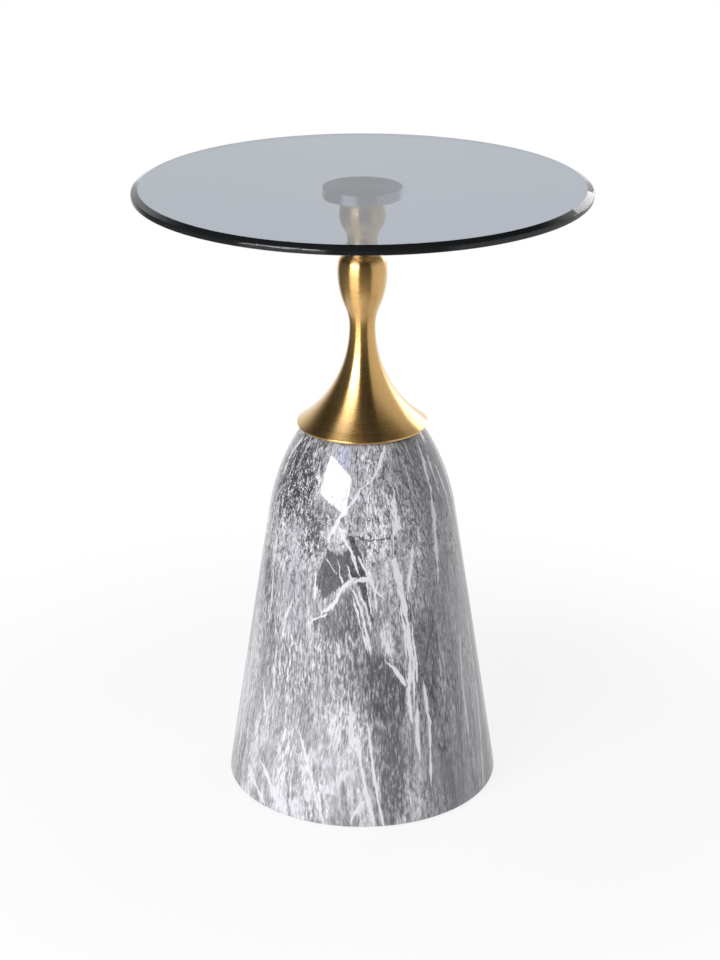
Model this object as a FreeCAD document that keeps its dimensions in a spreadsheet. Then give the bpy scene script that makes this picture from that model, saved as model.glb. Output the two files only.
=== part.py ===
"""Wine table: tinted glass top on a brushed disc, a two-pear brass stem and a marble-finished bell base."""

import FreeCAD, Part
import math
import os
import Sketcher

document = FreeCAD.newDocument("wine_table")

# Driving dimensions in millimetres, or counts
SIZES = {
    # Glass top and the disc bonded under it
    "glass_radius": 215.0,
    "glass_thickness": 8.0,
    "bevel_width": 4.5,
    "bevel_height": 4.0,
    "glass_arris": 0.6,
    "bond_thickness": 0.3,
    "bond_inset": 0.5,
    "disc_radius": 37.5,
    "disc_thickness": 10.0,
    "disc_arris": 0.6,
    # Upper pear of the stem, measured up from the neck
    "neck_radius": 14.5,
    "bulb_neck_curve": 17.0,
    "bulb_radius": 22.4,
    "bulb_rise": 25.0,
    "bulb_top_curve": 26.0,
    "bulb_top_rise": 15.7,
    # Lower pear, waist and flared skirt, measured up from the skirt's rim
    "brass_wall": 2.0,
    "rim_radius": 63.0,
    "lip_height": 2.0,
    "lip_width": 2.0,
    "flare_height": 95.5,
    "waist_radius": 12.5,
    "waist_curve": 48.0,
    "pear_length": 53.5,
    "pear_radius": 23.8,
    "pear_crown_curve": 48.0,
    "pear_crown_rise": 10.5,
    "shoulder_curve": 10.0,
    "shoulder_rise": 25.0,
    # What centres and carries the stem
    "bush_length": 24.0,
    "bush_gap": 0.1,
    "seat_thickness": 4.0,
    "seat_gap": 0.2,
    "gasket_thickness": 1.0,
    "gasket_margin": 1.5,
    "gasket_bore_radius": 12.0,
    # Bell base
    "bell_radius": 134.5,
    "bell_height": 369.0,
    "bell_wall": 6.0,
    "foot_arris": 1.5,
    "shoulder_drop": 87.0,
    "shoulder_start_radius": 91.1,
    "bell_shoulder_curve": 210.0,
    "crown_edge_curve": 6.0,
    # Tie rod and what clamps it under the crown
    "rod_diameter": 10.0,
    "rod_clearance": 0.25,
    "thread_gap": 0.1,
    "rod_engagement": 8.0,
    "rod_tail": 5.0,
    "crown_plate_radius": 40.0,
    "crown_plate_thickness": 4.0,
    "washer_radius": 10.5,
    "washer_thickness": 2.0,
    "nut_width": 17.0,
    "nut_height": 8.0,
    # Foot ring, bottom plate, ballast and pads
    "ring_width": 22.0,
    "ring_height": 16.0,
    "ring_gap": 0.1,
    "plate_thickness": 2.5,
    "plate_recess": 2.5,
    "plate_gap": 0.5,
    "screw_count": 6,
    "screw_radius": 2.0,
    "screw_length": 12.0,
    "screw_head_radius": 4.0,
    "screw_head_height": 2.0,
    "screw_gap": 0.1,
    "ballast_radius": 88.0,
    "ballast_bore_radius": 14.0,
    "ballast_thickness": 14.0,
    "stud_count": 3,
    "stud_circle": 56.0,
    "stud_radius": 3.0,
    "stud_tail": 2.0,
    "stud_gap": 0.3,
    "stud_nut_width": 10.0,
    "stud_nut_height": 5.0,
    "pad_count": 6,
    "pad_radius": 11.0,
    "pad_thickness": 4.0,
    "pad_inset": 7.0,
}

sheet = document.addObject("Spreadsheet::Sheet", "Sizes")
for row, (alias, number) in enumerate(SIZES.items(), start=1):
    sheet.set("A%d" % row, alias.replace("_", " "))
    sheet.set("B%d" % row, str(number))
    sheet.setAlias("B%d" % row, alias)
document.recompute()


def size(alias):
    """The expression that reads one driving dimension."""
    return "Sizes.%s" % alias


# Heights of the stacked pieces above the floor
PLATE_Z = size("pad_thickness")
BELL_Z = f"({PLATE_Z} - Sizes.plate_recess)"
RING_Z = f"({PLATE_Z} + Sizes.plate_thickness)"
CROWN_Z = f"({BELL_Z} + Sizes.bell_height)"
CROWN_PLATE_Z = f"({CROWN_Z} - Sizes.bell_wall - Sizes.crown_plate_thickness)"
WASHER_Z = f"({CROWN_PLATE_Z} - Sizes.washer_thickness)"
NUT_Z = f"({WASHER_Z} - Sizes.nut_height)"
ROD_Z = f"({NUT_Z} - Sizes.rod_tail)"
STEM_Z = f"({CROWN_Z} + Sizes.gasket_thickness)"
WAIST_HEIGHT = "(Sizes.lip_height + Sizes.flare_height)"
PEAR_HEIGHT = f"({WAIST_HEIGHT} + Sizes.pear_length)"
STEM_HEIGHT = f"({PEAR_HEIGHT} + Sizes.shoulder_rise)"
NECK_Z = f"({STEM_Z} + {STEM_HEIGHT})"
BULB_HEIGHT = "(Sizes.bulb_rise + Sizes.bulb_top_rise)"
DISC_Z = f"({NECK_Z} + {BULB_HEIGHT})"
BOND_Z = f"({DISC_Z} + Sizes.disc_thickness)"
GLASS_Z = f"({BOND_Z} + Sizes.bond_thickness)"

# The bell's cone: its lean, and the radius of its inner face at a height above the bell's foot
CONE_HEIGHT = "(Sizes.bell_height - Sizes.shoulder_drop)"
LEAN = f"((Sizes.bell_radius - Sizes.shoulder_start_radius) / ({CONE_HEIGHT} - Sizes.foot_arris))"


def bell_inside(height):
    """The expression for the radius of the cone's inner face at a height above the bell's foot."""
    wall_across = f"Sizes.bell_wall * sqrt(1 + {LEAN}^2)"
    return f"(Sizes.bell_radius - {LEAN} * ({height} - Sizes.foot_arris) - {wall_across})"


# Radii that follow from the pieces they fit
ROD_RADIUS = "(Sizes.rod_diameter / 2)"
ROD_HOLE = f"({ROD_RADIUS} + Sizes.rod_clearance)"
THREAD_HOLE = f"({ROD_RADIUS} + Sizes.thread_gap)"
RING_BOTTOM = "(Sizes.plate_recess + Sizes.plate_thickness)"
RING_TOP = f"({RING_BOTTOM} + Sizes.ring_height)"
PLATE_RADIUS = f"({bell_inside(RING_BOTTOM)} - Sizes.plate_gap)"
RING_INNER = f"({bell_inside(RING_TOP)} - Sizes.ring_width)"
SCREW_CIRCLE = f"({bell_inside(RING_TOP)} - Sizes.ring_width / 2)"
PAD_CIRCLE = f"({PLATE_RADIUS} - Sizes.pad_inset - Sizes.pad_radius)"

# The skirt's flare is one arc, upright at the waist and ending on the lip
FLARE_SPREAD = "(Sizes.rim_radius - Sizes.waist_radius)"
FLARE_CURVE = f"(({FLARE_SPREAD}^2 + Sizes.flare_height^2) / (2 * {FLARE_SPREAD}))"
SEAT_FALL = f"({WAIST_HEIGHT} - Sizes.seat_thickness)"
SEAT_CHORD = f"sqrt(({FLARE_CURVE} + Sizes.brass_wall)^2 - {SEAT_FALL}^2)"
SEAT_RADIUS = f"(Sizes.waist_radius + {FLARE_CURVE} - {SEAT_CHORD} - Sizes.seat_gap)"

# The flat of the crown ends where its rounded edge begins
SHOULDER_LENGTH = f"sqrt(1 + {LEAN}^2)"
SHOULDER_CENTRE_R = f"(Sizes.shoulder_start_radius - Sizes.bell_shoulder_curve / {SHOULDER_LENGTH})"
SHOULDER_CENTRE_FALL = f"(Sizes.shoulder_drop + Sizes.bell_shoulder_curve * {LEAN} / {SHOULDER_LENGTH})"
EDGE_RISE = f"({SHOULDER_CENTRE_FALL} - Sizes.crown_edge_curve)"
EDGE_REACH = f"sqrt((Sizes.bell_shoulder_curve - Sizes.crown_edge_curve)^2 - {EDGE_RISE}^2)"
CROWN_FLAT = f"({SHOULDER_CENTRE_R} + {EDGE_REACH})"
GASKET_RADIUS = f"(min({CROWN_FLAT}; {SEAT_RADIUS}) - Sizes.gasket_margin)"


def value(expression):
    """The number that an expression on the sheet gives now."""
    return float(sheet.evalExpression(expression))


def origin_feature(body, role):
    """One of a body's own origin planes or axes."""
    return next(item for item in body.Origin.OriginFeatures if item.Role == role)


def new_body(label, height):
    """An empty body that stands at a height above the floor."""
    body = document.addObject("PartDesign::Body", label)
    body.Label = label
    body.setExpression("Placement.Base.z", height)
    return body


def new_sketch(body, name, plane):
    """A sketch on one of the body's origin planes: on XZ_Plane its x is the radius and its y the height."""
    sketch = body.newObject("Sketcher::SketchObject", name)
    sketch.AttachmentSupport = (origin_feature(body, plane), [""])
    sketch.MapMode = "FlatFace"
    return sketch


class Stroke:
    """One line or arc of a profile, with the vertex numbers of its first and last ends."""

    CENTRE = 3

    def __init__(self, sketch, first, last, centre=None):
        self.sketch = sketch
        self.ends = (first, last)
        start = FreeCAD.Vector(first[0], first[1], 0)
        end = FreeCAD.Vector(last[0], last[1], 0)
        self.first, self.last = 1, 2
        if centre is None:
            self.index = sketch.addGeometry(Part.LineSegment(start, end), False)
            return
        middle = FreeCAD.Vector(centre[0], centre[1], 0)
        if (start - middle).cross(end - middle).z < 0:
            start, end = end, start
            self.first, self.last = 2, 1
        circle = Part.Circle(middle, FreeCAD.Vector(0, 0, 1), (start - middle).Length)
        angles = [math.atan2(point.y - middle.y, point.x - middle.x) for point in (start, end)]
        if angles[1] < angles[0]:
            angles[1] += 2 * math.pi
        self.index = sketch.addGeometry(Part.ArcOfCircle(circle, angles[0], angles[1]), False)


def bind(sketch, kind, arguments, expression):
    """A dimension whose value is read from an expression."""
    index = sketch.addConstraint(Sketcher.Constraint(kind, *arguments, value(expression)))
    sketch.setExpression("Constraints[%d]" % index, expression)


def place(stroke, vertex, across=None, up=None):
    """Sets a stroke's end at a radius and a height."""
    for kind, expression in (("DistanceX", across), ("DistanceY", up)):
        if expression is not None:
            bind(stroke.sketch, kind, (-1, 1, stroke.index, vertex), expression)


def join(before, after):
    """The end of one stroke is the start of the next."""
    ends = (before.index, before.last, after.index, after.first)
    before.sketch.addConstraint(Sketcher.Constraint("Coincident", *ends))


def flow(before, after):
    """One stroke runs smoothly into the next."""
    ends = (before.index, before.last, after.index, after.first)
    before.sketch.addConstraint(Sketcher.Constraint("Tangent", *ends))


def level(stroke, vertex):
    """The arc stands upright at one end: its centre is at that end's height."""
    ends = (stroke.index, vertex, stroke.index, Stroke.CENTRE)
    stroke.sketch.addConstraint(Sketcher.Constraint("Horizontal", *ends))


def same_centre(arc, other):
    """Two arcs share a centre."""
    ends = (arc.index, Stroke.CENTRE, other.index, Stroke.CENTRE)
    arc.sketch.addConstraint(Sketcher.Constraint("Coincident", *ends))


def flat(stroke):
    """The line is level."""
    stroke.sketch.addConstraint(Sketcher.Constraint("Horizontal", stroke.index))


def upright(stroke):
    """The line is upright."""
    stroke.sketch.addConstraint(Sketcher.Constraint("Vertical", stroke.index))


def on_foot(stroke, vertex):
    """The end lies on the sketch's horizontal axis."""
    stroke.sketch.addConstraint(Sketcher.Constraint("PointOnObject", stroke.index, vertex, -1))


def polygon(sketch, corners):
    """A closed outline of lines through corners, each a pair of expressions for radius and height."""
    points = [(value(across), value(up)) for across, up in corners]
    strokes = [Stroke(sketch, point, points[(i + 1) % len(points)]) for i, point in enumerate(points)]
    for i, stroke in enumerate(strokes):
        join(stroke, strokes[(i + 1) % len(strokes)])
        across, up = corners[i]
        if value(across) == 0:
            stroke.sketch.addConstraint(Sketcher.Constraint("PointOnObject", stroke.index, stroke.first, -2))
            across = None
        if value(up) == 0:
            on_foot(stroke, stroke.first)
            up = None
        place(stroke, stroke.first, across, up)


def circle(sketch, radius, across="0"):
    """A circle on the sketch's horizontal axis."""
    centre = FreeCAD.Vector(value(across), 0, 0)
    shape = Part.Circle(centre, FreeCAD.Vector(0, 0, 1), value(radius))
    index = sketch.addGeometry(shape, False)
    bind(sketch, "Radius", (index,), radius)
    if across == "0":
        sketch.addConstraint(Sketcher.Constraint("Coincident", index, Stroke.CENTRE, -1, 1))
        return
    sketch.addConstraint(Sketcher.Constraint("PointOnObject", index, Stroke.CENTRE, -1))
    bind(sketch, "DistanceX", (-1, 1, index, Stroke.CENTRE), across)


def revolve(body, sketch):
    """The profile turned about its own upright axis."""
    turned = body.newObject("PartDesign::Revolution", sketch.Name + "_turned")
    turned.Profile = sketch
    turned.ReferenceAxis = (sketch, ["V_Axis"])
    turned.Angle = 360
    return turned


def pad(body, sketch, height):
    """The sketch raised to a height."""
    raised = body.newObject("PartDesign::Pad", sketch.Name + "_pad")
    raised.Profile = sketch
    raised.setExpression("Length", height)
    return raised


def pocket(body, sketch, depth):
    """The sketch sunk upwards from its plane to a depth."""
    sunk = body.newObject("PartDesign::Pocket", sketch.Name + "_pocket")
    sunk.Profile = sketch
    sunk.Reversed = True
    sunk.setExpression("Length", depth)
    return sunk


def ring_of(body, feature, count):
    """Copies of a feature around the body's upright axis."""
    pattern = body.newObject("PartDesign::PolarPattern", feature.Name + "_ring")
    pattern.Originals = [feature]
    pattern.Axis = (origin_feature(body, "Z_Axis"), [""])
    pattern.Angle = 360
    pattern.setExpression("Occurrences", count)
    body.Tip = pattern
    return pattern


def washer(label, height, outer, bore, thickness):
    """A flat round piece with a hole in the middle."""
    body = new_body(label, height)
    sketch = new_sketch(body, label + "_face", "XY_Plane")
    circle(sketch, outer)
    circle(sketch, bore)
    pad(body, sketch, thickness)
    return body


def turn(first, centre, angle):
    """A point turned about a centre."""
    across, up = first[0] - centre[0], first[1] - centre[1]
    cosine, sine = math.cos(angle), math.sin(angle)
    return (centre[0] + across * cosine - up * sine, centre[1] + across * sine + up * cosine)


def along(start, end, distance):
    """The point at a distance from start in the direction of end."""
    length = math.dist(start, end)
    return tuple(a + (b - a) * distance / length for a, b in zip(start, end))


def s_curve(low, high, low_curve):
    """Two arcs between two upright ends: their centres and the point where they meet."""
    spread, rise = high[0] - low[0], high[1] - low[1]
    high_curve = (spread**2 + rise**2) / (2 * spread) - low_curve
    low_centre = (low[0] + low_curve, low[1])
    high_centre = (high[0] - high_curve, high[1])
    return low_centre, along(low_centre, high_centre, low_curve), high_centre


def offset(point, centre, distance):
    """A point of an arc, moved straight away from the arc's centre."""
    return along(centre, point, math.dist(centre, point) + distance)


def spun_profile(sketch, arcs, wall):
    """The outer arcs of a spun piece from foot to top, and the same arcs again one wall further in.

    Each arc is (first, last, centre, side): side is 1 where the metal bulges out, -1 where it is drawn in.
    """
    outer = [Stroke(sketch, first, last, centre) for first, last, centre, side in arcs]
    inner = []
    for first, last, centre, side in reversed(arcs):
        shift = -side * wall
        inner.append(Stroke(sketch, offset(last, centre, shift), offset(first, centre, shift), centre))
    for before, after in zip(outer, outer[1:]):
        flow(before, after)
    for before, after in zip(inner, inner[1:]):
        flow(before, after)
    for arc, twin in zip(outer, reversed(inner)):
        same_centre(arc, twin)
    return outer, inner


def make_glass_top():
    """Round glass: a sloping bevel on the upper edge and a small arris on the lower one."""
    body = new_body("glass_top", GLASS_Z)
    sketch = new_sketch(body, "glass_profile", "XZ_Plane")
    bevel_foot = "(Sizes.glass_thickness - Sizes.bevel_height)"
    polygon(sketch, [
        ("0", "0"),
        ("(Sizes.glass_radius - Sizes.glass_arris)", "0"),
        (size("glass_radius"), size("glass_arris")),
        (size("glass_radius"), bevel_foot),
        ("(Sizes.glass_radius - Sizes.bevel_width)", size("glass_thickness")),
        ("0", size("glass_thickness")),
    ])
    revolve(body, sketch)
    return body


def make_bond_film():
    """The clear bonding layer that holds the disc to the glass."""
    film = document.addObject("Part::Cylinder", "bond_film")
    film.Label = "bond_film"
    film.setExpression("Radius", "Sizes.disc_radius - Sizes.bond_inset")
    film.setExpression("Height", size("bond_thickness"))
    film.setExpression("Placement.Base.z", BOND_Z)
    return film


def make_mount_disc():
    """The brushed disc under the glass, tapped from below for the rod."""
    body = new_body("mount_disc", DISC_Z)
    sketch = new_sketch(body, "disc_profile", "XZ_Plane")
    polygon(sketch, [
        ("0", size("rod_engagement")),
        (THREAD_HOLE, size("rod_engagement")),
        (THREAD_HOLE, "0"),
        ("(Sizes.disc_radius - Sizes.disc_arris)", "0"),
        (size("disc_radius"), size("disc_arris")),
        (size("disc_radius"), "(Sizes.disc_thickness - Sizes.disc_arris)"),
        ("(Sizes.disc_radius - Sizes.disc_arris)", size("disc_thickness")),
        ("0", size("disc_thickness")),
    ])
    revolve(body, sketch)
    return body


def make_upper_bulb():
    """The upper pear: drawn in at the neck, full above it and rounded in under the disc."""
    body = new_body("upper_bulb", NECK_Z)
    sketch = new_sketch(body, "bulb_profile", "XZ_Plane")
    neck = (SIZES["neck_radius"], 0.0)
    widest = (SIZES["bulb_radius"], SIZES["bulb_rise"])
    neck_centre, meeting, belly_centre = s_curve(neck, widest, SIZES["bulb_neck_curve"])
    top_centre = (widest[0] - SIZES["bulb_top_curve"], widest[1])
    top_angle = math.asin(SIZES["bulb_top_rise"] / SIZES["bulb_top_curve"])
    top = turn(widest, top_centre, top_angle)
    arcs = [
        (neck, meeting, neck_centre, -1),
        (meeting, widest, belly_centre, 1),
        (widest, top, top_centre, 1),
    ]
    outer, inner = spun_profile(sketch, arcs, SIZES["brass_wall"])
    neck_arc, belly_arc, top_arc = outer
    inner_top_arc, inner_neck_arc = inner[0], inner[-1]
    bind(sketch, "Radius", (neck_arc.index,), size("bulb_neck_curve"))
    bind(sketch, "Radius", (top_arc.index,), size("bulb_top_curve"))
    bind(sketch, "Radius", (inner_neck_arc.index,), "Sizes.bulb_neck_curve + Sizes.brass_wall")
    level(neck_arc, neck_arc.first)
    on_foot(neck_arc, neck_arc.first)
    place(neck_arc, neck_arc.first, across=size("neck_radius"))
    level(belly_arc, belly_arc.last)
    place(belly_arc, belly_arc.last, size("bulb_radius"), size("bulb_rise"))
    place(top_arc, top_arc.last, up=BULB_HEIGHT)
    top_edge = Stroke(sketch, top, inner_top_arc.ends[0])
    join(top_arc, top_edge)
    join(top_edge, inner_top_arc)
    flat(top_edge)
    foot_edge = Stroke(sketch, inner_neck_arc.ends[1], neck)
    join(inner_neck_arc, foot_edge)
    join(foot_edge, neck_arc)
    flat(foot_edge)
    revolve(body, sketch)
    return body


def make_flared_stem():
    """The skirt's flare, the waist, the lower pear, its rounded shoulder and the neck, spun as one piece."""
    body = new_body("flared_stem", STEM_Z)
    sketch = new_sketch(body, "stem_profile", "XZ_Plane")
    rim_radius, lip_height = SIZES["rim_radius"], SIZES["lip_height"]
    wall = SIZES["brass_wall"]
    waist = (SIZES["waist_radius"], value(WAIST_HEIGHT))
    widest = (SIZES["pear_radius"], value(PEAR_HEIGHT))
    neck = (SIZES["neck_radius"], value(STEM_HEIGHT))
    lip_top = (rim_radius, lip_height)
    flare_centre = (waist[0] + value(FLARE_CURVE), waist[1])
    waist_centre, meeting, pear_centre = s_curve(waist, widest, SIZES["waist_curve"])
    crown_curve = SIZES["pear_crown_curve"]
    crown_centre = (widest[0] - crown_curve, widest[1])
    crown_end = turn(widest, crown_centre, math.asin(SIZES["pear_crown_rise"] / crown_curve))
    shoulder_curve = SIZES["shoulder_curve"]
    shoulder_centre = along(crown_end, crown_centre, shoulder_curve)
    neck_step = neck[0] - shoulder_centre[0]
    neck_fall = neck[1] - shoulder_centre[1]
    neck_curve = (neck_step**2 + neck_fall**2 - shoulder_curve**2) / (2 * (shoulder_curve - neck_step))
    neck_centre = (neck[0] + neck_curve, neck[1])
    shoulder_end = along(shoulder_centre, neck_centre, shoulder_curve)
    arcs = [
        (lip_top, waist, flare_centre, -1),
        (waist, meeting, waist_centre, -1),
        (meeting, widest, pear_centre, 1),
        (widest, crown_end, crown_centre, 1),
        (crown_end, shoulder_end, shoulder_centre, 1),
        (shoulder_end, neck, neck_centre, -1),
    ]
    outer, inner = spun_profile(sketch, arcs, wall)
    flare, waist_arc, pear_arc, crown_arc, shoulder_arc, neck_arc = outer
    inner_neck_arc, inner_flare = inner[0], inner[-1]
    place(flare, flare.first, size("rim_radius"), size("lip_height"))
    place(flare, flare.last, size("waist_radius"), WAIST_HEIGHT)
    level(flare, flare.last)
    bind(sketch, "Radius", (waist_arc.index,), size("waist_curve"))
    place(pear_arc, pear_arc.last, size("pear_radius"), PEAR_HEIGHT)
    level(pear_arc, pear_arc.last)
    bind(sketch, "Radius", (crown_arc.index,), size("pear_crown_curve"))
    place(crown_arc, crown_arc.last, up=f"{PEAR_HEIGHT} + Sizes.pear_crown_rise")
    bind(sketch, "Radius", (shoulder_arc.index,), size("shoulder_curve"))
    place(neck_arc, neck_arc.last, size("neck_radius"), STEM_HEIGHT)
    level(neck_arc, neck_arc.last)
    bind(sketch, "Radius", (inner_flare.index,), f"{FLARE_CURVE} + Sizes.brass_wall")
    # The neck's level edge, then the lip: upright outside, level at its foot, and up inside to the flare
    neck_edge = Stroke(sketch, neck, inner_neck_arc.ends[0])
    join(neck_arc, neck_edge)
    join(neck_edge, inner_neck_arc)
    flat(neck_edge)
    lip_inside = rim_radius - SIZES["lip_width"]
    lip_inner = Stroke(sketch, inner_flare.ends[1], (lip_inside, 0.0))
    lip_foot = Stroke(sketch, (lip_inside, 0.0), (rim_radius, 0.0))
    lip_outer = Stroke(sketch, (rim_radius, 0.0), lip_top)
    join(inner_flare, lip_inner)
    join(lip_inner, lip_foot)
    join(lip_foot, lip_outer)
    join(lip_outer, flare)
    upright(lip_inner)
    upright(lip_outer)
    flat(lip_foot)
    on_foot(lip_foot, lip_foot.first)
    place(lip_foot, lip_foot.first, across="Sizes.rim_radius - Sizes.lip_width")
    revolve(body, sketch)
    return body


def make_base_shell():
    """The bell: a leaning wall, a long rounded shoulder, a soft crown edge and a flat, holed crown."""
    body = new_body("base_shell", BELL_Z)
    sketch = new_sketch(body, "bell_profile", "XZ_Plane")
    wall, arris = SIZES["bell_wall"], SIZES["foot_arris"]
    height = SIZES["bell_height"]
    foot = (SIZES["bell_radius"], arris)
    cone_top = (SIZES["shoulder_start_radius"], value(CONE_HEIGHT))
    shoulder_centre = (value(SHOULDER_CENTRE_R), height - value(SHOULDER_CENTRE_FALL))
    edge_centre = (value(CROWN_FLAT), height - SIZES["crown_edge_curve"])
    edge_start = along(shoulder_centre, edge_centre, SIZES["bell_shoulder_curve"])
    edge_end = (edge_centre[0], height)
    hole = value(ROD_HOLE)
    under = height - wall
    inner_curve = SIZES["bell_shoulder_curve"] - wall
    inner_top_r = shoulder_centre[0] + math.sqrt(inner_curve**2 - (under - shoulder_centre[1]) ** 2)
    inner_start = along(shoulder_centre, cone_top, inner_curve)
    inner_foot = (value(bell_inside("0")), 0.0)
    cone = Stroke(sketch, foot, cone_top)
    shoulder = Stroke(sketch, cone_top, edge_start, shoulder_centre)
    edge = Stroke(sketch, edge_start, edge_end, edge_centre)
    crown = Stroke(sketch, edge_end, (hole, height))
    bore = Stroke(sketch, (hole, height), (hole, under))
    ceiling = Stroke(sketch, (hole, under), (inner_top_r, under))
    inner_shoulder = Stroke(sketch, (inner_top_r, under), inner_start, shoulder_centre)
    inner_cone = Stroke(sketch, inner_start, inner_foot)
    sole = Stroke(sketch, inner_foot, (foot[0] - arris, 0.0))
    corner = Stroke(sketch, (foot[0] - arris, 0.0), foot)
    flow(cone, shoulder)
    flow(shoulder, edge)
    flow(edge, crown)
    join(crown, bore)
    join(bore, ceiling)
    join(ceiling, inner_shoulder)
    flow(inner_shoulder, inner_cone)
    join(inner_cone, sole)
    join(sole, corner)
    join(corner, cone)
    same_centre(shoulder, inner_shoulder)
    place(cone, cone.first, size("bell_radius"), size("foot_arris"))
    place(cone, cone.last, size("shoulder_start_radius"), CONE_HEIGHT)
    bind(sketch, "Radius", (shoulder.index,), size("bell_shoulder_curve"))
    bind(sketch, "Radius", (edge.index,), size("crown_edge_curve"))
    place(crown, crown.last, ROD_HOLE, size("bell_height"))
    upright(bore)
    flat(ceiling)
    place(bore, bore.last, up="Sizes.bell_height - Sizes.bell_wall")
    bind(sketch, "Radius", (inner_shoulder.index,), "Sizes.bell_shoulder_curve - Sizes.bell_wall")
    sketch.addConstraint(Sketcher.Constraint("Parallel", cone.index, inner_cone.index))
    on_foot(sole, sole.first)
    on_foot(sole, sole.last)
    place(sole, sole.last, across="Sizes.bell_radius - Sizes.foot_arris")
    revolve(body, sketch)
    return body


def make_foot_ring():
    """The plywood ring bonded inside the bell's mouth, with a pilot hole for each plate screw."""
    body = new_body("foot_ring", RING_Z)
    sketch = new_sketch(body, "foot_ring_profile", "XZ_Plane")
    polygon(sketch, [
        (RING_INNER, "0"),
        (f"({bell_inside(RING_BOTTOM)} - Sizes.ring_gap)", "0"),
        (f"({bell_inside(RING_TOP)} - Sizes.ring_gap)", size("ring_height")),
        (RING_INNER, size("ring_height")),
    ])
    revolve(body, sketch)
    hole = new_sketch(body, "pilot_hole", "XY_Plane")
    circle(hole, "Sizes.screw_radius + Sizes.screw_gap", SCREW_CIRCLE)
    ring_of(body, pocket(body, hole, "Sizes.screw_length - Sizes.plate_thickness + Sizes.screw_radius"),
            size("screw_count"))
    return body


def make_bottom_plate():
    """The steel plate that closes the bell: screw holes near its edge and welded studs for the ballast."""
    body = new_body("bottom_plate", PLATE_Z)
    face = new_sketch(body, "plate_face", "XY_Plane")
    circle(face, PLATE_RADIUS)
    pad(body, face, size("plate_thickness"))
    hole = new_sketch(body, "plate_hole", "XY_Plane")
    circle(hole, "Sizes.screw_radius + Sizes.screw_gap", SCREW_CIRCLE)
    ring_of(body, pocket(body, hole, size("plate_thickness")), size("screw_count"))
    stud = new_sketch(body, "stud_face", "XY_Plane")
    circle(stud, size("stud_radius"), size("stud_circle"))
    stud_height = "Sizes.plate_thickness + Sizes.ballast_thickness + Sizes.stud_nut_height + Sizes.stud_tail"
    ring_of(body, pad(body, stud, stud_height), size("stud_count"))
    return body


def make_ballast_disc():
    """The cast iron weight that keeps the table from tipping."""
    body = washer("ballast_disc", RING_Z, size("ballast_radius"), size("ballast_bore_radius"),
                  size("ballast_thickness"))
    hole = new_sketch(body, "ballast_hole", "XY_Plane")
    circle(hole, "Sizes.stud_radius + Sizes.stud_gap", size("stud_circle"))
    ring_of(body, pocket(body, hole, size("ballast_thickness")), size("stud_count"))
    return body


def make_plate_screws():
    """The pan-head screws that hold the bottom plate up against the foot ring."""
    body = new_body("plate_screws", PLATE_Z)
    body.AllowCompound = True
    sketch = new_sketch(body, "screw_profile", "XZ_Plane")
    sketch.setExpression("AttachmentOffset.Base.x", SCREW_CIRCLE)
    head_edge = "(-Sizes.screw_head_height / 2)"
    polygon(sketch, [
        ("0", "(-Sizes.screw_head_height)"),
        ("(Sizes.screw_head_radius - Sizes.screw_head_height / 2)", "(-Sizes.screw_head_height)"),
        (size("screw_head_radius"), head_edge),
        (size("screw_head_radius"), "0"),
        (size("screw_radius"), "0"),
        (size("screw_radius"), "(Sizes.screw_length - Sizes.screw_radius)"),
        ("0", size("screw_length")),
    ])
    ring_of(body, revolve(body, sketch), size("screw_count"))
    return body


def hex_nut(name, width, height, bore):
    """A six-sided nut standing on its own origin."""
    block = document.addObject("Part::Prism", name + "_block")
    block.Polygon = 6
    block.setExpression("Circumradius", f"{width} / sqrt(3)")
    block.setExpression("Height", height)
    hole = document.addObject("Part::Cylinder", name + "_hole")
    hole.setExpression("Radius", bore)
    hole.setExpression("Height", height)
    nut = document.addObject("Part::Cut", name)
    nut.Base = block
    nut.Tool = hole
    return nut


def make_clamp_nut():
    """The nut that pulls the tie rod down under the crown plate."""
    nut = hex_nut("clamp_nut", size("nut_width"), size("nut_height"), THREAD_HOLE)
    nut.Label = "clamp_nut"
    nut.setExpression("Placement.Base.z", NUT_Z)
    return nut


def around(piece, radius, height, step, count):
    """Stands a piece on a circle about the table's axis."""
    angle = f"(360 deg * {step} / {count})"
    piece.setExpression("Placement.Base.x", f"{radius} * cos({angle})")
    piece.setExpression("Placement.Base.y", f"{radius} * sin({angle})")
    piece.setExpression("Placement.Base.z", height)


def make_ballast_nuts():
    """One nut on each stud, on top of the ballast."""
    nuts = []
    for step in range(SIZES["stud_count"]):
        bore = "Sizes.stud_radius + Sizes.thread_gap"
        nut = hex_nut(f"stud_nut_{step + 1}", size("stud_nut_width"), size("stud_nut_height"), bore)
        around(nut, size("stud_circle"), f"{RING_Z} + Sizes.ballast_thickness", step, size("stud_count"))
        nuts.append(nut)
    group = document.addObject("Part::Compound", "ballast_nuts")
    group.Label = "ballast_nuts"
    group.Links = nuts
    return group


def make_tie_rod():
    """The threaded rod from below the clamp nut up into the disc, with chamfered ends."""
    body = new_body("tie_rod", ROD_Z)
    sketch = new_sketch(body, "rod_profile", "XZ_Plane")
    length = f"({DISC_Z} + Sizes.rod_engagement - Sizes.thread_gap - {ROD_Z})"
    chamfer = "(Sizes.rod_diameter / 10)"
    polygon(sketch, [
        ("0", "0"),
        (f"({ROD_RADIUS} - {chamfer})", "0"),
        (ROD_RADIUS, chamfer),
        (ROD_RADIUS, f"({length} - {chamfer})"),
        (f"({ROD_RADIUS} - {chamfer})", length),
        ("0", length),
    ])
    revolve(body, sketch)
    return body


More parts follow.
